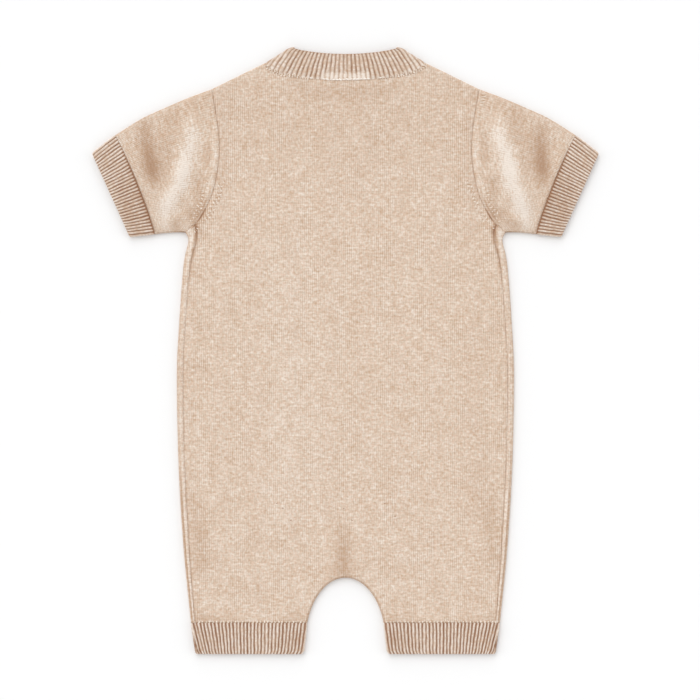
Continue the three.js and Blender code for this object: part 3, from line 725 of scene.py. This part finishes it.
    knit = places + rolls * np.radians(np.where(turns > 90, 180 - turns, turns))[..., None]
    knit = np.where(np.isnan(places), 0, knit) * (side, 1) + (0 if is_back else FRONT_MAP_SHIFT, 0)
    return cloth_net(side, places, turns, rolls, (raised, 0), knit, shade_and_tone_grid, wear_and_shade, seamed)


def ring(upper, lower=None):
    """Values round a flattened tube: over the upper layer, a fold, the lower layer, and a fold."""
    lower = upper if lower is None else lower
    folds = len(FOLD_TURNS)
    first, last = upper[:, :1], upper[:, -1:]
    end_fold, start_fold = np.repeat(last, folds, axis=1), np.repeat(first, folds, axis=1)
    return np.concatenate([upper, end_fold, lower[:, ::-1], start_fold, first], axis=1)


def ring_turns(columns):
    """Turns of the cloth round a flattened tube."""
    return np.concatenate([
        np.full(columns, 180.0), FOLD_TURNS, np.zeros(columns), FOLD_TURNS[::-1], [180.0]])


def ring_rolls(line, start_roll, end_roll):
    """Rolls round a flattened tube, which bulges only in its two folds."""
    columns, folds = line.shape[1], len(FOLD_TURNS)
    rolls = np.zeros(ring(line).shape)
    rolls[:, columns:columns + folds] = end_roll[:, None]
    rolls[:, 2 * columns + folds:-1] = start_roll[:, None]
    return rolls


def sleeve_net(side, sizes):
    """A sleeve from the armhole to the cuff, folded along its top and along its underside."""
    step = sizes.grid / MM
    across = np.linspace(0, 1, int(SLEEVE_WIDTH / step) + 1)
    shares = graded(SLEEVE_LENGTH, step, first=True, last=True)
    start = moved_line(armhole_at(np.linspace(0, 1, 90)), SEAM_GAP)
    start_at = along(start, across)
    seam_top, seam_under = (np.array(corner) for corner in SLEEVE_CUFF["corners"][:2])
    cuff_roll = unit(seam_top - seam_under) * EDGE_RADIUS
    part = shares[:, None]
    start_roll = unit(mix(shoulder_roll(), cuff_roll, part)) * EDGE_RADIUS
    end_roll = unit(mix(underarm_roll(), -cuff_roll, np.minimum(part * 3, 1))) * EDGE_RADIUS
    top = smooth_line(SLEEVE_TOP, shares) - start_roll
    under = smooth_line(SLEEVE_UNDER, shares) - end_roll
    top += (start_at[0] - top[0]) * (1 - part) ** 8
    under += (start_at[-1] - under[0]) * (1 - part) ** 8
    last_top, last_under = seam_top - cuff_roll, seam_under + cuff_roll
    top_drift = top - mix(start_at[0], last_top, part)
    under_drift = under - mix(start_at[-1], last_under, part)
    column = across[:, None]
    line = mix(start_at, mix(last_top, last_under, column), part[..., None])
    line = line + top_drift[:, None] * (1 - column) + under_drift[:, None] * column
    line = line + part[..., None] ** 3 * seam_bow(SLEEVE_CUFF, across)

    relief, painted_shade_and_tone = seam_look(line, [(start, ARMHOLE_LOOK), (line[-1], CUFF_LOOK)])
    from_cuff, _ = distance_to(line, line[-1])
    # Painted highlight on the sleeve just beside its cuff
    painted_shade_and_tone = painted_shade_and_tone - 0.35 * np.exp(-((from_cuff - 0.9) / 0.6) ** 2) * (1 - across)
    from_armhole, where = distance_to(line, start)
    ridge = np.exp(-((where - 0.52) / 0.24) ** 4) * np.exp(-((from_armhole - 2.8) / 1.8) ** 2)
    upper = relief + 0.7 * ridge
    lower = np.minimum(relief - 0.2 * rise(-side, line), 0)
    underside_fold = slice(len(across), len(across) + len(FOLD_TURNS))
    top_fold = slice(2 * len(across) + len(FOLD_TURNS), -1)
    raised = ring(upper, lower)
    raised[:, underside_fold] = 0
    raised[:, top_fold] = 0

    layer = across * SLEEVE_MAP_WIDTH
    turned = np.linspace(0, np.pi * EDGE_RADIUS, len(FOLD_TURNS) + 2)[1:-1]
    below = SLEEVE_MAP_WIDTH + SLEEVE_MAP_FOLD
    around = np.concatenate([
        layer, SLEEVE_MAP_WIDTH + turned, below + layer, below + SLEEVE_MAP_WIDTH + turned, [2 * below]])
    knit = np.stack(np.broadcast_arrays(around, part * SLEEVE_LENGTH), axis=-1)

    # Painted highlight along the ridge beside the armhole, and painted shade in both folds, deepest in
    # the underside fold near the body
    painted_shade_and_tone = ring(painted_shade_and_tone - 0.2 * ridge, painted_shade_and_tone)
    over = np.sin(np.radians(FOLD_TURNS))
    near_body = np.exp(-(part * SLEEVE_LENGTH / 15) ** 2)
    painted_shade_and_tone[:, underside_fold] = over * (0.15 + 0.85 * near_body)
    painted_shade_and_tone[:, top_fold] = 0.15 * over
    return cloth_net(side, ring(line), ring_turns(len(across)), ring_rolls(line, start_roll, end_roll),
                     (raised, 0), knit, painted_shade_and_tone, 0.3)


# Ribbed bands


def rib_profile(phase):
    """Height of a rib between its grooves, from 0 to 1."""
    return 1 - np.abs(2 * (phase % 1) - 1) ** 1.7


def unevenly(ribs, from_seam):
    """Rib numbers moved a little, so that the ribs run as unevenly as hand-fed yarn makes them."""
    return (ribs + 0.07 * np.sin(1.9 * ribs + from_seam / 2.3) * np.sin(0.7 * ribs - from_seam / 4.1)
            + 0.05 * np.sin(0.37 * ribs + from_seam / 6.5))


def free_edge_cut(from_edge):
    """How much of the wall is rounded off beside a free edge."""
    inside = np.clip(1 - from_edge / ROUND_EDGE, 0, 1)
    return ROUND_EDGE * (1 - np.sqrt(1 - inside ** 2))


def band_rows(length, rows):
    """Shares down a band, close together at its seam and at its rounded free edge."""
    edge = length - np.array([ROUND_EDGE, 0.45, 0.25, 0.1, 0.03, 0])
    middle = np.linspace(SEAM_STEPS[-1], edge[0], rows)
    return np.concatenate([SEAM_STEPS[:-1], middle, edge[1:]]) / length


def rib_relief(ribs, up, from_seam, from_edge, wear_and_shade, sunk, sizes):
    """How far the outer and the inner face of a ribbed band are raised."""
    height = sizes.rib_height / MM
    drawn_in = (1 - sunk * np.exp(-(from_seam / 1.4) ** 2)) * (1 - 0.6 * np.clip(wear_and_shade, 0, 1))
    outer = height * (rib_profile(ribs) * drawn_in - (1 - up) / 2)
    cut = free_edge_cut(from_edge)
    return outer - cut, 0.45 * outer + cut


def seam_bow(cuff, across):
    """How far the seam of a cuff bows in toward the garment, at shares along it."""
    corners = np.array(cuff["corners"])
    inward = unit(corners[:2].mean(axis=0) - corners[2:].mean(axis=0))
    return cuff["bow"] * np.sin(np.pi * across)[:, None] ** 0.7 * inward


def cuff_net(side, sizes, cuff):
    """A ribbed cuff from its seam to its free edge."""
    seam, free = np.array(cuff["corners"][:2]), np.array(cuff["corners"][2:])
    ribs = cuff["ribs"]
    start = moved_line(seam, SEAM_GAP)
    length = np.linalg.norm(free - start, axis=1).mean()
    shares = band_rows(length, 12)
    part = shares[:, None]
    inset = np.clip((part - 0.85) / 0.15, 0, 1) ** 2 * cuff["rounding"]
    first, second = mix(start[0], free[0], part), mix(start[1], free[1], part)
    width = np.linalg.norm(second - first, axis=1, keepdims=True)
    direction = unit(first - second)
    first = first - direction * (EDGE_RADIUS + inset[:, :1])
    second = second + direction * (EDGE_RADIUS + inset[:, 1:])
    across = np.linspace(0, 1, ribs * sizes.rib_columns + 1)
    line = mix(first[:, None], second[:, None], across[:, None])
    line = line + (1 - part)[..., None] * seam_bow(cuff, across)

    from_outside = across * width
    shift = cuff["lean"] * part * np.exp(-from_outside / LEAN_REACH) * ribs / width
    upper = across * ribs - shift
    lower = ribs + FOLD_RIBS + (1 - across) * ribs + shift
    over = np.linspace(0, 1, len(FOLD_TURNS) + 2)[1:-1]
    inside_fold = upper[:, -1:] + over * (lower[:, -1:] - upper[:, -1:])
    end = upper[:, :1] + 2 * (ribs + FOLD_RIBS)
    outside_fold = lower[:, :1] + over * (end - lower[:, :1])
    number = np.concatenate([upper, inside_fold, lower[:, ::-1], outside_fold, end], axis=1)

    turns = ring_turns(len(across))
    up = -np.cos(np.radians(turns))
    from_seam, from_edge = part * length, (1 - part) * length
    number = unevenly(number, from_seam)
    wear_and_shade = (cuff["wear_and_shade"] - 0.35 * np.exp(-(from_seam / 3.5) ** 2)) * np.ones(number.shape)
    outer_raised, inner_raised = rib_relief(number, up, from_seam, from_edge, wear_and_shade, 0.5, sizes)
    side_seam = np.exp(-((from_outside - 1.2 - 1.5 * part) / 0.7) ** 2) * (1 if cuff["lean"] else 0)
    flat_zero = np.zeros(side_seam.shape)
    outer_raised = outer_raised - 0.5 * ring(side_seam, flat_zero) * (np.arange(len(turns)) < len(across))
    # Painted shade in the seam, and in the side seam of a leaning cuff
    seam_shade = cuff["seam_shade"] * np.exp(-(from_seam / 0.9) ** 2) * np.clip(across * 4 - 0.3, 0, 1)
    painted_shade_and_tone = ring(seam_shade, 0.3 * seam_shade) + 0.35 * ring(side_seam, flat_zero)
    knit = np.stack(np.broadcast_arrays(number, from_seam), axis=-1)
    rolls = ring_rolls(line, direction * EDGE_RADIUS, -direction * EDGE_RADIUS)
    return cloth_net(side, ring(line), turns, rolls, (outer_raised, inner_raised), knit, painted_shade_and_tone, wear_and_shade)


def neck_band_net(side, sizes):
    """Half of the neck band, whose ribs lean in from the seam to the free edge."""
    columns = sizes.rib_columns
    shares = band_rows(BAND_DEPTH, 18)
    part = shares[:, None]
    back_at = np.linspace(0, 1, int(NECK_RIBS_AT_SEAM * columns) + 1)
    front_at = np.linspace(0, 1, int((HALF_NECK_RIBS - NECK_RIBS_AT_SEAM) * columns) + 1)
    seams = []
    for drop in (BACK_NECK_DROP, FRONT_NECK_DROP):
        seam = moved_line(neck_line(drop), -0.15)
        seam[0, 0] = 0
        seams.append(seam)
    back_height = BAND_EDGE_HEIGHT - BACK_BAND_DIP * (1 - back_at ** 2)
    back_edge = np.stack([BAND_EDGE_REACH * back_at, back_height], axis=1)
    angle = np.linspace(0, np.pi / 2, 60)
    dip_height = BAND_EDGE_HEIGHT - FRONT_BAND_DIP * np.cos(angle)
    dip = np.stack([BAND_EDGE_REACH * np.sin(angle), dip_height], axis=1)
    back = mix(along(seams[0], back_at), back_edge, shares[:, None, None])
    front = mix(along(seams[1], front_at), along(dip, front_at), shares[:, None, None])
    corner = BAND_CORNER * np.clip((part - 0.88) / 0.12, 0, 1) ** 2
    back[..., 0] -= corner * back_at ** 8
    front[..., 0] -= corner * front_at ** 8
    folds = len(FOLD_TURNS)
    places = np.concatenate([back, np.repeat(back[:, -1:], folds, axis=1), front[:, ::-1]], axis=1)
    turns = np.concatenate([np.full(len(back_at), 180.0), FOLD_TURNS, np.zeros(len(front_at))])
    rolls = np.zeros(places.shape)
    rolls[:, len(back_at):len(back_at) + folds] = mix(NECK_ROLL, BAND_EDGE_ROLL, part)[:, None]

    at_fold = mix(NECK_RIBS_AT_SEAM, NECK_RIBS_AT_EDGE, part)
    over = np.linspace(0, FOLD_RIBS, folds + 2)[1:-1]
    front_ribs = HALF_NECK_RIBS - front_at[::-1] * (HALF_NECK_RIBS - FOLD_RIBS - at_fold)
    ribs = 0.5 + np.concatenate([at_fold * back_at, at_fold + over, front_ribs], axis=1)
    from_seam, from_edge = part * BAND_DEPTH, (1 - part) * BAND_DEPTH
    ribs = unevenly(ribs - 0.5, from_seam) + 0.5
    reach = np.abs(places[..., 0])
    in_middle = np.clip((WORN_HALF_WIDTH - reach) / 3, 0, 1)
    on_back = np.arange(len(turns)) < len(back_at)
    from_fold = np.abs(np.arange(len(turns)) - len(back_at) - folds / 2) / columns
    loop_ends = np.exp(-(from_seam / 1.6) ** 2) * (1 - in_middle) * on_back
    wear_and_shade = (in_middle * np.clip((WORN_DEPTH - from_seam) / 2, 0, 1) * on_back
            + np.clip((reach - 45) / 10, 0, 0.2) + np.clip(1.2 - from_fold, 0, 0.6) + 0.5 * loop_ends)
    raised = rib_relief(ribs, -np.cos(np.radians(turns)), from_seam, from_edge, wear_and_shade, 0.95, sizes)
    knit = np.stack(np.broadcast_arrays(side * ribs, from_seam), axis=-1)
    # Painted shade at the rolled free edge and in the fold, and paler where the ribs are worn flat and
    # where the loops end
    painted_shade_and_tone = (0.45 * np.exp(-(from_edge / 0.75) ** 2) - 0.05 * wear_and_shade - 0.25 * loop_ends
            + 0.5 * np.clip(1.2 - from_fold, 0, 1))
    return cloth_net(side, places, turns, rolls, raised, knit, painted_shade_and_tone, wear_and_shade)


# Loops and stitches


def surface_height(side, places):
    """Height of the top of the upper layer at each place."""
    return 2 * EDGE_RADIUS + rise(side, places)


def stitch_row(side, line, kind, lift, spread, seed, phase=0.5):
    """Places of stitches along a line: where each lies, which way it points, and its size."""
    spacing, turn, length, width = kind
    total = np.linalg.norm(np.diff(line, axis=0), axis=1).sum()
    count = max(int(total / spacing), 1)
    shares = (np.arange(count) + phase) / count
    chance = np.random.default_rng(seed + (side > 0))
    at = along(line, shares)
    ahead = along(line, np.minimum(shares + 0.01, 1)) - along(line, np.maximum(shares - 0.01, 0))
    normal = unit(np.stack([-ahead[:, 1], ahead[:, 0]], axis=1))
    at = at + normal * chance.uniform(-spread, spread, (count, 1))
    angle = np.degrees(np.arctan2(ahead[:, 1], ahead[:, 0]))
    angle = angle + turn * np.where(np.arange(count) % 2, 1, -1) + chance.uniform(-22, 22, count)
    size = chance.uniform(0.7, 1.25, count)
    height = surface_height(side, at) + lift
    return [(side * x, y, z, a if side > 0 else 180 - a, length * s, width * s)
            for (x, y), z, a, s in zip(at, height, angle, size)]


def loop_rows(side, line, kind, lift, spread, seed, gap_width=0.75):
    """A row of light loops along a line, and a row of dark leaves between them, which paint the shade in
    the gaps.
    """
    spacing, turn, length, width = kind
    gaps = (spacing, turn, length, width * gap_width)
    return (stitch_row(side, line, kind, lift, spread, seed),
            stitch_row(side, line, gaps, lift - 0.08, spread, seed, phase=0.0))


def rows_beside(side, seam, row):
    """The loops, and the painted shade of their gaps, that one row of NECK_ROWS or ARMHOLE_ROWS puts
    beside a seam.
    """
    kind, distance, first, last, lift, spread, seed = row
    return loop_rows(side, moved_line(seam, distance)[first:last], kind, lift, spread, seed)


def seam_loops(side):
    """All loops, and the painted shade of the gaps between them, beside the neck, the armhole and the leg
    seam of one half.
    """
    neck = along(neck_line(BACK_NECK_DROP), np.linspace(0, 1, NECK_POINTS))
    armhole = armhole_at(np.linspace(0, 1, ARMHOLE_POINTS))
    leg_outer, leg_inner = (np.array(corner) for corner in LEG_CUFF["corners"][:2])
    leg_seam = np.linspace(leg_outer + (-2, 0.8), leg_inner + (1, 0.8), 60)
    rows = [rows_beside(side, neck, row) for row in NECK_ROWS]
    rows += [rows_beside(side, armhole, row) for row in ARMHOLE_ROWS]
    rows.append(loop_rows(side, leg_seam, LEG_SEAM_LOOPS, -0.1, 0.1, 41, gap_width=0.5))
    if side > 0:
        rows.append(rows_beside(side, armhole, RIGHT_SHOULDER_ROW))
    return rows


def pale_row():
    """The pale row of stitches in the middle of the neck seam."""
    places = []
    for side, first, last in PALE_ROWS:
        reach = np.linspace(first, last, 12)
        height = NECK_HEIGHT - BACK_NECK_DROP * np.sqrt(1 - (reach / NECK_REACH) ** 2) + 0.4
        places += stitch_row(side, np.stack([reach, height], axis=1), PALE_STITCHES, 0.55, 0, 53)
    return places


def fleck_places():
    """Places of the dark fibres that are caught in the yarn above the legs."""
    return [(x, y, float(surface_height(1, np.array([[x, y]]))[0]) + 0.1, angle, 1.3, 0.5)
            for x, y, angle in FLECKS]


def leaf_model():
    """One leaf of a knitted stitch, a unit long, plump in the middle and bowed to one side."""
    bpy.ops.object.select_all(action="DESELECT")
    bpy.ops.mesh.primitive_uv_sphere_add(segments=8, ring_count=6, radius=0.5, rotation=(0, np.pi / 2, 0))
    leaf = bpy.context.object
    bpy.ops.object.transform_apply(location=False, rotation=True, scale=False)
    bpy.ops.object.shade_smooth()
    for vertex in leaf.data.vertices:
        vertex.select = abs(vertex.co.x) < 0.3
    for item in (*leaf.data.edges, *leaf.data.polygons):
        item.select = False
    bpy.ops.object.mode_set(mode="EDIT")
    bpy.ops.transform.translate(value=(0, 0.16, 0))
    bpy.ops.object.mode_set(mode="OBJECT")
    return leaf


def stitches(name, places, finish):
    """A piece made of copies of one leaf, one copy at each place."""
    leaf = leaf_model()
    copies = []
    for x, y, z, angle, length, width in places:
        copy = leaf.copy()
        copy.data = leaf.data.copy()
        copy.data.transform(
            Matrix.Translation(Vector((x, y, z)) * MM) @ Matrix.Rotation(np.radians(angle), 4, "Z")
            @ Matrix.Diagonal((length * MM, width * MM, 0.55 * width * MM, 1)))
        bpy.context.scene.collection.objects.link(copy)
        copies.append(copy)
    bpy.data.objects.remove(leaf)
    bpy.ops.object.select_all(action="DESELECT")
    for copy in copies:
        copy.select_set(True)
    bpy.context.view_layer.objects.active = copies[0]
    bpy.ops.object.join()
    piece = bpy.context.object
    piece.name = name
    piece.data.materials.append(finish)
    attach(piece, "root")
    return piece


# Materials


class Value:
    """A number in a shader. Python arithmetic on it adds Math nodes."""

    def __init__(self, finish, socket):
        self.finish, self.socket = finish, socket

    def math(self, operation, *values):
        """A Math node on this number and on others."""
        return self.finish.node("ShaderNodeMath", {"operation": operation}, [self, *values])

    def __add__(self, other):
        return self.math("ADD", other)

    __radd__ = __add__

    def __sub__(self, other):
        return self.math("SUBTRACT", other)

    def __rsub__(self, other):
        return self.finish.node("ShaderNodeMath", {"operation": "SUBTRACT"}, [other, self])

    def __mul__(self, other):
        return self.math("MULTIPLY", other)

    __rmul__ = __mul__

    def __pow__(self, other):
        return self.math("POWER", other)

    def within(self, low, high):
        """This number, kept between two limits."""
        return self.math("MAXIMUM", low).math("MINIMUM", high)


class Finish:
    """The nodes of one material."""

    def __init__(self, name):
        self.material = bpy.data.materials.new(name)
        self.material.use_nodes = True
        self.tree = self.material.node_tree
        self.tree.nodes.clear()

    def node(self, kind, settings, sockets, output=0):
        """Add a node, set its settings and then its sockets, and return one of its outputs."""
        node = self.tree.nodes.new(kind)
        for name, setting in settings.items():
            setattr(node, name, setting)
        for key, value in sockets.items() if isinstance(sockets, dict) else enumerate(sockets):
            if isinstance(value, Value):
                self.tree.links.new(value.socket, node.inputs[key])
            else:
                node.inputs[key].default_value = value
        return Value(self, node.outputs[output]) if len(node.outputs) else None

    def blend(self, factor, first, second):
        """A colour between two others."""
        first, second = (
            colour if isinstance(colour, Value) else (*colour, 1) for colour in (first, second))
        return self.node(
            "ShaderNodeMix", {"data_type": "RGBA"}, {0: factor, 6: first, 7: second}, output=2)

    def place(self, across, down):
        """A place in a flat pattern."""
        return self.node("ShaderNodeCombineXYZ", {}, [across, down])

    def noise(self, place, detail, roughness=0.5):
        """Uneven values about 0.5, which change over about one unit of the place."""
        return self.node("ShaderNodeTexNoise", {"noise_dimensions": "2D"}, {
            "Vector": place, "Scale": 1.0, "Detail": detail, "Roughness": roughness})

    def surface(self, **sockets):
        """Add the shader with values for its sockets, and return the finished material."""
        shader = self.node("ShaderNodeBsdfPrincipled", {}, {
            name.replace("_", " "): value for name, value in sockets.items()})
        self.node("ShaderNodeOutputMaterial", {}, [shader])
        return self.material


def knit_finish(name, colours, sizes, ribbed):
    """Heathered knit with painted shade and highlight. Plain knit has columns of stitches, and a ribbed
    band has ribs; the gaps between them are painted darker as shade, and rib crests lighter as highlight.
    """
    finish = Finish(name)
    knit_map = finish.node("ShaderNodeUVMap", {"uv_map": KNIT_MAP}, [])
    painted_shade_and_tone = finish.node("ShaderNodeAttribute", {"attribute_name": SHADE_AND_TONE_ATTRIBUTE}, [], output=2)
    wear_and_shade = finish.node("ShaderNodeAttribute", {"attribute_name": WEAR_AND_SHADE_ATTRIBUTE}, [], output=2)
    across = finish.node("ShaderNodeSeparateXYZ", {}, [knit_map])
    down = finish.node("ShaderNodeSeparateXYZ", {}, [knit_map], output=1)
    width = 3.0 if ribbed else 1.0
    column = across if ribbed else across * (MM / sizes.wale)
    row = down * (MM / sizes.course)
    from_middle = (column.math("FRACT") * 2 - 1).math("ABSOLUTE")
    stitch = 1 - ((row + from_middle * 0.55).math("FRACT") * 2 - 1).math("ABSOLUTE") ** 2.5
    streaks = finish.noise(finish.place(across * (width / 5.0), down * (1 / 1.5)), 3.0, 0.6)
    fuzz = finish.noise(finish.place(across * (width / 1.3), down * (1 / 2.9) + 40.0), 2.0, 0.55)
    clouds = finish.noise(finish.place(across * (width / 13.0), down * (1 / 11.0)), 4.0, 0.6)
    speckle = finish.node("ShaderNodeTexWhiteNoise", {"noise_dimensions": "2D"}, {
        "Vector": finish.place(column.math("FLOOR"), row.math("FLOOR"))})
    # Melange of the yarn, with the painted highlight and painted shade of the shade attribute mixed in
    heather_and_shading = ((streaks - 0.5) * 2.3 + (fuzz - 0.5) * 1.9 + (clouds - 0.5) * 0.9 + (speckle - 0.5) * 0.4
               - painted_shade_and_tone.math("MINIMUM", 0.0) * 2.0 - painted_shade_and_tone.math("MAXIMUM", 0.0) * 1.2)
    if ribbed:
        height = 1 - from_middle ** 1.7
        one_rib = finish.node("ShaderNodeTexWhiteNoise", {"noise_dimensions": "1D"}, {
            "W": (column + 0.5).math("FLOOR")})
        uneven = finish.noise(finish.place(column * 0.7, down * (1 / 5.0)), 2.0)
        shade = one_rib * 0.4 + uneven * 0.9 + speckle * 0.4 + 0.15
        # Painted shade in the grooves between ribs, darker and wider where the wear value is below 0
        deep = from_middle ** (wear_and_shade * 0.9 + 1.9) * (0.8 - wear_and_shade * 0.5) * shade
        relief = height * 0.3 + stitch * 0.5
        # Painted highlight along the rib crests
        crest_highlight = height * (wear_and_shade.math("ABSOLUTE") * 0.8 + 0.5)
        heather_and_shading = heather_and_shading * 0.75 + (speckle - 0.5) * 0.5 + crest_highlight - 0.15
    else:
        patchy = finish.noise(finish.place(across * (1 / 14.0), down * (1 / 22.0) + 9.0), 2.0)
        # Painted shade in the gaps between columns of stitches, in patches and near the armhole
        deep = from_middle ** 3 * ((patchy - 0.35).math("MAXIMUM", 0.0) * 0.6 - wear_and_shade * 0.14)
        relief = (1 - from_middle ** 3) * 0.6 + stitch * 0.3 + fuzz * 0.9
        # Stitch middles painted lighter and their edges darker, as light and shade on the stitches
        heather_and_shading = heather_and_shading + (0.5 - from_middle) * (patchy - wear_and_shade * 0.5 - 0.12).math("MAXIMUM", 0.0)
    dye = finish.noise(finish.place(across * (width / 2.2) + 70.0, down * (1 / 1.8)), 3.0)
    yarn = finish.blend(((dye - 0.5) * 3.6 + 0.5).within(0.0, 1.0), colours.yarn, colours.rosy_yarn)
    colour = finish.blend(heather_and_shading.within(0.0, 1.0), yarn, colours.light_fibre_and_highlight)
    colour = finish.blend((heather_and_shading * -1).within(0.0, 1.0), colour, colours.dark_fibre_and_shade)
    # Painted shade of grooves, stitch gaps, seams and folds: the colour goes toward the groove colour
    groove = (deep + painted_shade_and_tone.math("MAXIMUM", 0.0) * 0.6).within(0.0, 0.95)
    colour = finish.blend(groove, colour, colours.groove)
    bump = finish.node("ShaderNodeBump", {}, {"Strength": 0.8, "Distance": 0.35 * MM, "Height": relief})
    return finish.surface(Base_Color=colour, Roughness=0.92, Normal=bump, Sheen_Weight=0.25,
                          Sheen_Roughness=0.5, Specular_IOR_Level=0.2)


def loop_finish(name, dark, light):
    """Yarn of loops and stitches, and the painted shade in the gaps between loops, which differ from one
    to the next.
    """
    finish = Finish(name)
    place = finish.node("ShaderNodeTexCoord", {}, [], output=3)
    patch = finish.node("ShaderNodeTexNoise", {}, {"Vector": place, "Scale": 520.0, "Detail": 1.0})
    fibre = finish.node("ShaderNodeTexNoise", {}, {"Vector": place, "Scale": 2600.0, "Detail": 2.0})
    shade = ((patch - 0.5) * 3.0 + (fibre - 0.5) * 0.8 + 0.5).within(0.0, 1.0)
    bump = finish.node("ShaderNodeBump", {}, {"Strength": 0.6, "Distance": 0.2 * MM, "Height": fibre})
    return finish.surface(Base_Color=finish.blend(shade, dark, light), Roughness=0.9, Normal=bump,
                          Sheen_Weight=0.25, Sheen_Roughness=0.5, Specular_IOR_Level=0.2)


def table_finish(colours):
    """The plain pale surface under the romper."""
    return Finish("Pale table").surface(Base_Color=(*colours.table, 1), Roughness=0.9)


# Operators


def dress(piece, node, finish):
    """Put a finish on a piece, and let it ride in place of its solid."""
    piece.data.materials.append(finish)
    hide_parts(node)
    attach(piece, "root")


class RomperOperator:
    """What the operators share."""

    bl_options = {"REGISTER", "UNDO"}

    @classmethod
    def settings(cls, context):
        return context.scene.romper_sizes, context.scene.romper_colours


class ROMPER_OT_body(RomperOperator, bpy.types.Operator):
    """Make the back and the front, joined at the shoulders and at the sides"""

    bl_idname = "romper.body"
    bl_label = "Body"

    def execute(self, context):
        sizes, colours = self.settings(context)
        finish = knit_finish("Heathered plain knit", colours, sizes, False)
        for name, drop, is_back, flat in (
                ("back_body", BACK_NECK_DROP, True, BACK_FLAT),
                ("front_body", FRONT_NECK_DROP, False, FRONT_FLAT)):
            nets = [panel_net(side, sizes, drop, is_back) for side in HALVES]
            piece = cloth_mesh(f"knit_{name}", nets)
            dress(piece, name, finish)
        return {"FINISHED"}


class ROMPER_OT_sleeves(RomperOperator, bpy.types.Operator):
    """Make the two short sleeves"""

    bl_idname = "romper.sleeves"
    bl_label = "Sleeves"

    def execute(self, context):
        sizes, colours = self.settings(context)
        finish = knit_finish("Heathered sleeve knit", colours, sizes, False)
        for name, side in (("left", -1), ("right", 1)):
            piece = cloth_mesh(f"knit_sleeve_{name}", [sleeve_net(side, sizes)])
            dress(piece, f"sleeve_{name}", finish)
        return {"FINISHED"}


class ROMPER_OT_bands(RomperOperator, bpy.types.Operator):
    """Make the ribbed neck band and cuffs"""

    bl_idname = "romper.bands"
    bl_label = "Ribbed bands"

    def execute(self, context):
        sizes, colours = self.settings(context)
        finish = knit_finish("Heathered rib knit", colours, sizes, True)
        band = cloth_mesh("rib_neck_band", [neck_band_net(side, sizes) for side in HALVES])
        dress(band, "neck_band", finish)
        for name, side in (("left", -1), ("right", 1)):
            for place, cuff in (("sleeve", SLEEVE_CUFF), ("leg", LEG_CUFF)):
                piece = cloth_mesh(f"rib_{place}_cuff_{name}", [cuff_net(side, sizes, cuff)])
                dress(piece, f"{place}_cuff_{name}", finish)
        return {"FINISHED"}


class ROMPER_OT_stitches(RomperOperator, bpy.types.Operator):
    """Add the linking loops, the narrowing marks, the pale row of stitches and the flecks"""

    bl_idname = "romper.stitches"
    bl_label = "Loops and stitches"

    def execute(self, context):
        _, colours = self.settings(context)
        rows = [row for side in HALVES for row in seam_loops(side)]
        light = [place for loops, _ in rows for place in loops]
        dark = [place for _, gaps in rows for place in gaps]
        thread, fleck = colours.thread, colours.fleck
        stitches("light_loops", light, loop_finish("Light loops", colours.yarn, colours.loop_top))
        # Dark leaves between the loops: painted shadow in the gaps
        stitches("loop_gap_shadows", dark, loop_finish("Loop gaps", colours.loop_gap, colours.dark_fibre_and_shade))
        stitches("label_stitches", pale_row(), loop_finish("White thread", thread, thread))
        stitches("yarn_flecks", fleck_places(), loop_finish("Dark fibres", fleck, fleck))
        return {"FINISHED"}


class ROMPER_OT_stage(RomperOperator, bpy.types.Operator):
    """Set the table, the light and the camera"""

    bl_idname = "romper.stage"
    bl_label = "Stage"

    def execute(self, context):
        _, colours = self.settings(context)
        bpy.ops.object.select_all(action="DESELECT")
        bpy.ops.mesh.primitive_plane_add(size=TABLE_WIDTH, location=(0, 0, -TABLE_GAP))
        table = context.object
        table.name = "table"
        table.data.materials.append(table_finish(colours))
        world = bpy.data.worlds.new("Soft room")
        world.use_nodes = True
        world.node_tree.nodes["Background"].inputs["Color"].default_value = (1, 1, 1, 1)
        world.node_tree.nodes["Background"].inputs["Strength"].default_value = ROOM_LIGHT
        context.scene.world = world
        for name, energy, angle, place in LAMPS:
            light = bpy.data.lights.new(name, "SUN")
            light.energy, light.angle = energy, angle
            lamp = bpy.data.objects.new(name, light)
            lamp.location = place
            lamp.rotation_euler = (-lamp.location).to_track_quat("-Z", "Y").to_euler()
            context.scene.collection.objects.link(lamp)
        lens = bpy.data.cameras.new("Camera")
        lens.lens = 100
        camera = bpy.data.objects.new("Camera", lens)
        height = VIEW_WIDTH * lens.lens / lens.sensor_width
        camera.location = (*VIEW_CENTRE, height)
        context.scene.collection.objects.link(camera)
        context.scene.camera = camera
        context.scene.view_settings.view_transform = "Standard"
        return {"FINISHED"}


OPERATORS = (ROMPER_OT_body, ROMPER_OT_sleeves, ROMPER_OT_bands, ROMPER_OT_stitches, ROMPER_OT_stage)


class ROMPER_PT_panel(bpy.types.Panel):
    bl_label = "Romper"
    bl_idname = "ROMPER_PT_panel"
    bl_space_type = "VIEW_3D"
    bl_region_type = "UI"
    bl_category = "Romper"

    def draw(self, context):
        for settings in (context.scene.romper_sizes, context.scene.romper_colours):
            for name in settings.__annotations__:
                self.layout.prop(settings, name)
        for operator in OPERATORS:
            self.layout.operator(operator.bl_idname)


CLASSES = (RomperSizes, RomperColours, *OPERATORS, ROMPER_PT_panel)


def register():
    for item in CLASSES:
        bpy.utils.register_class(item)
    bpy.types.Scene.romper_sizes = bpy.props.PointerProperty(type=RomperSizes)
    bpy.types.Scene.romper_colours = bpy.props.PointerProperty(type=RomperColours)


def unregister():
    del bpy.types.Scene.romper_sizes
    del bpy.types.Scene.romper_colours
    for item in reversed(CLASSES):
        bpy.utils.unregister_class(item)


def main():
    register()
    bpy.ops.romper.body()
    bpy.ops.romper.sleeves()
    bpy.ops.romper.bands()
    bpy.ops.romper.stitches()
    bpy.ops.romper.stage()


if __name__ == "__main__":
    main()
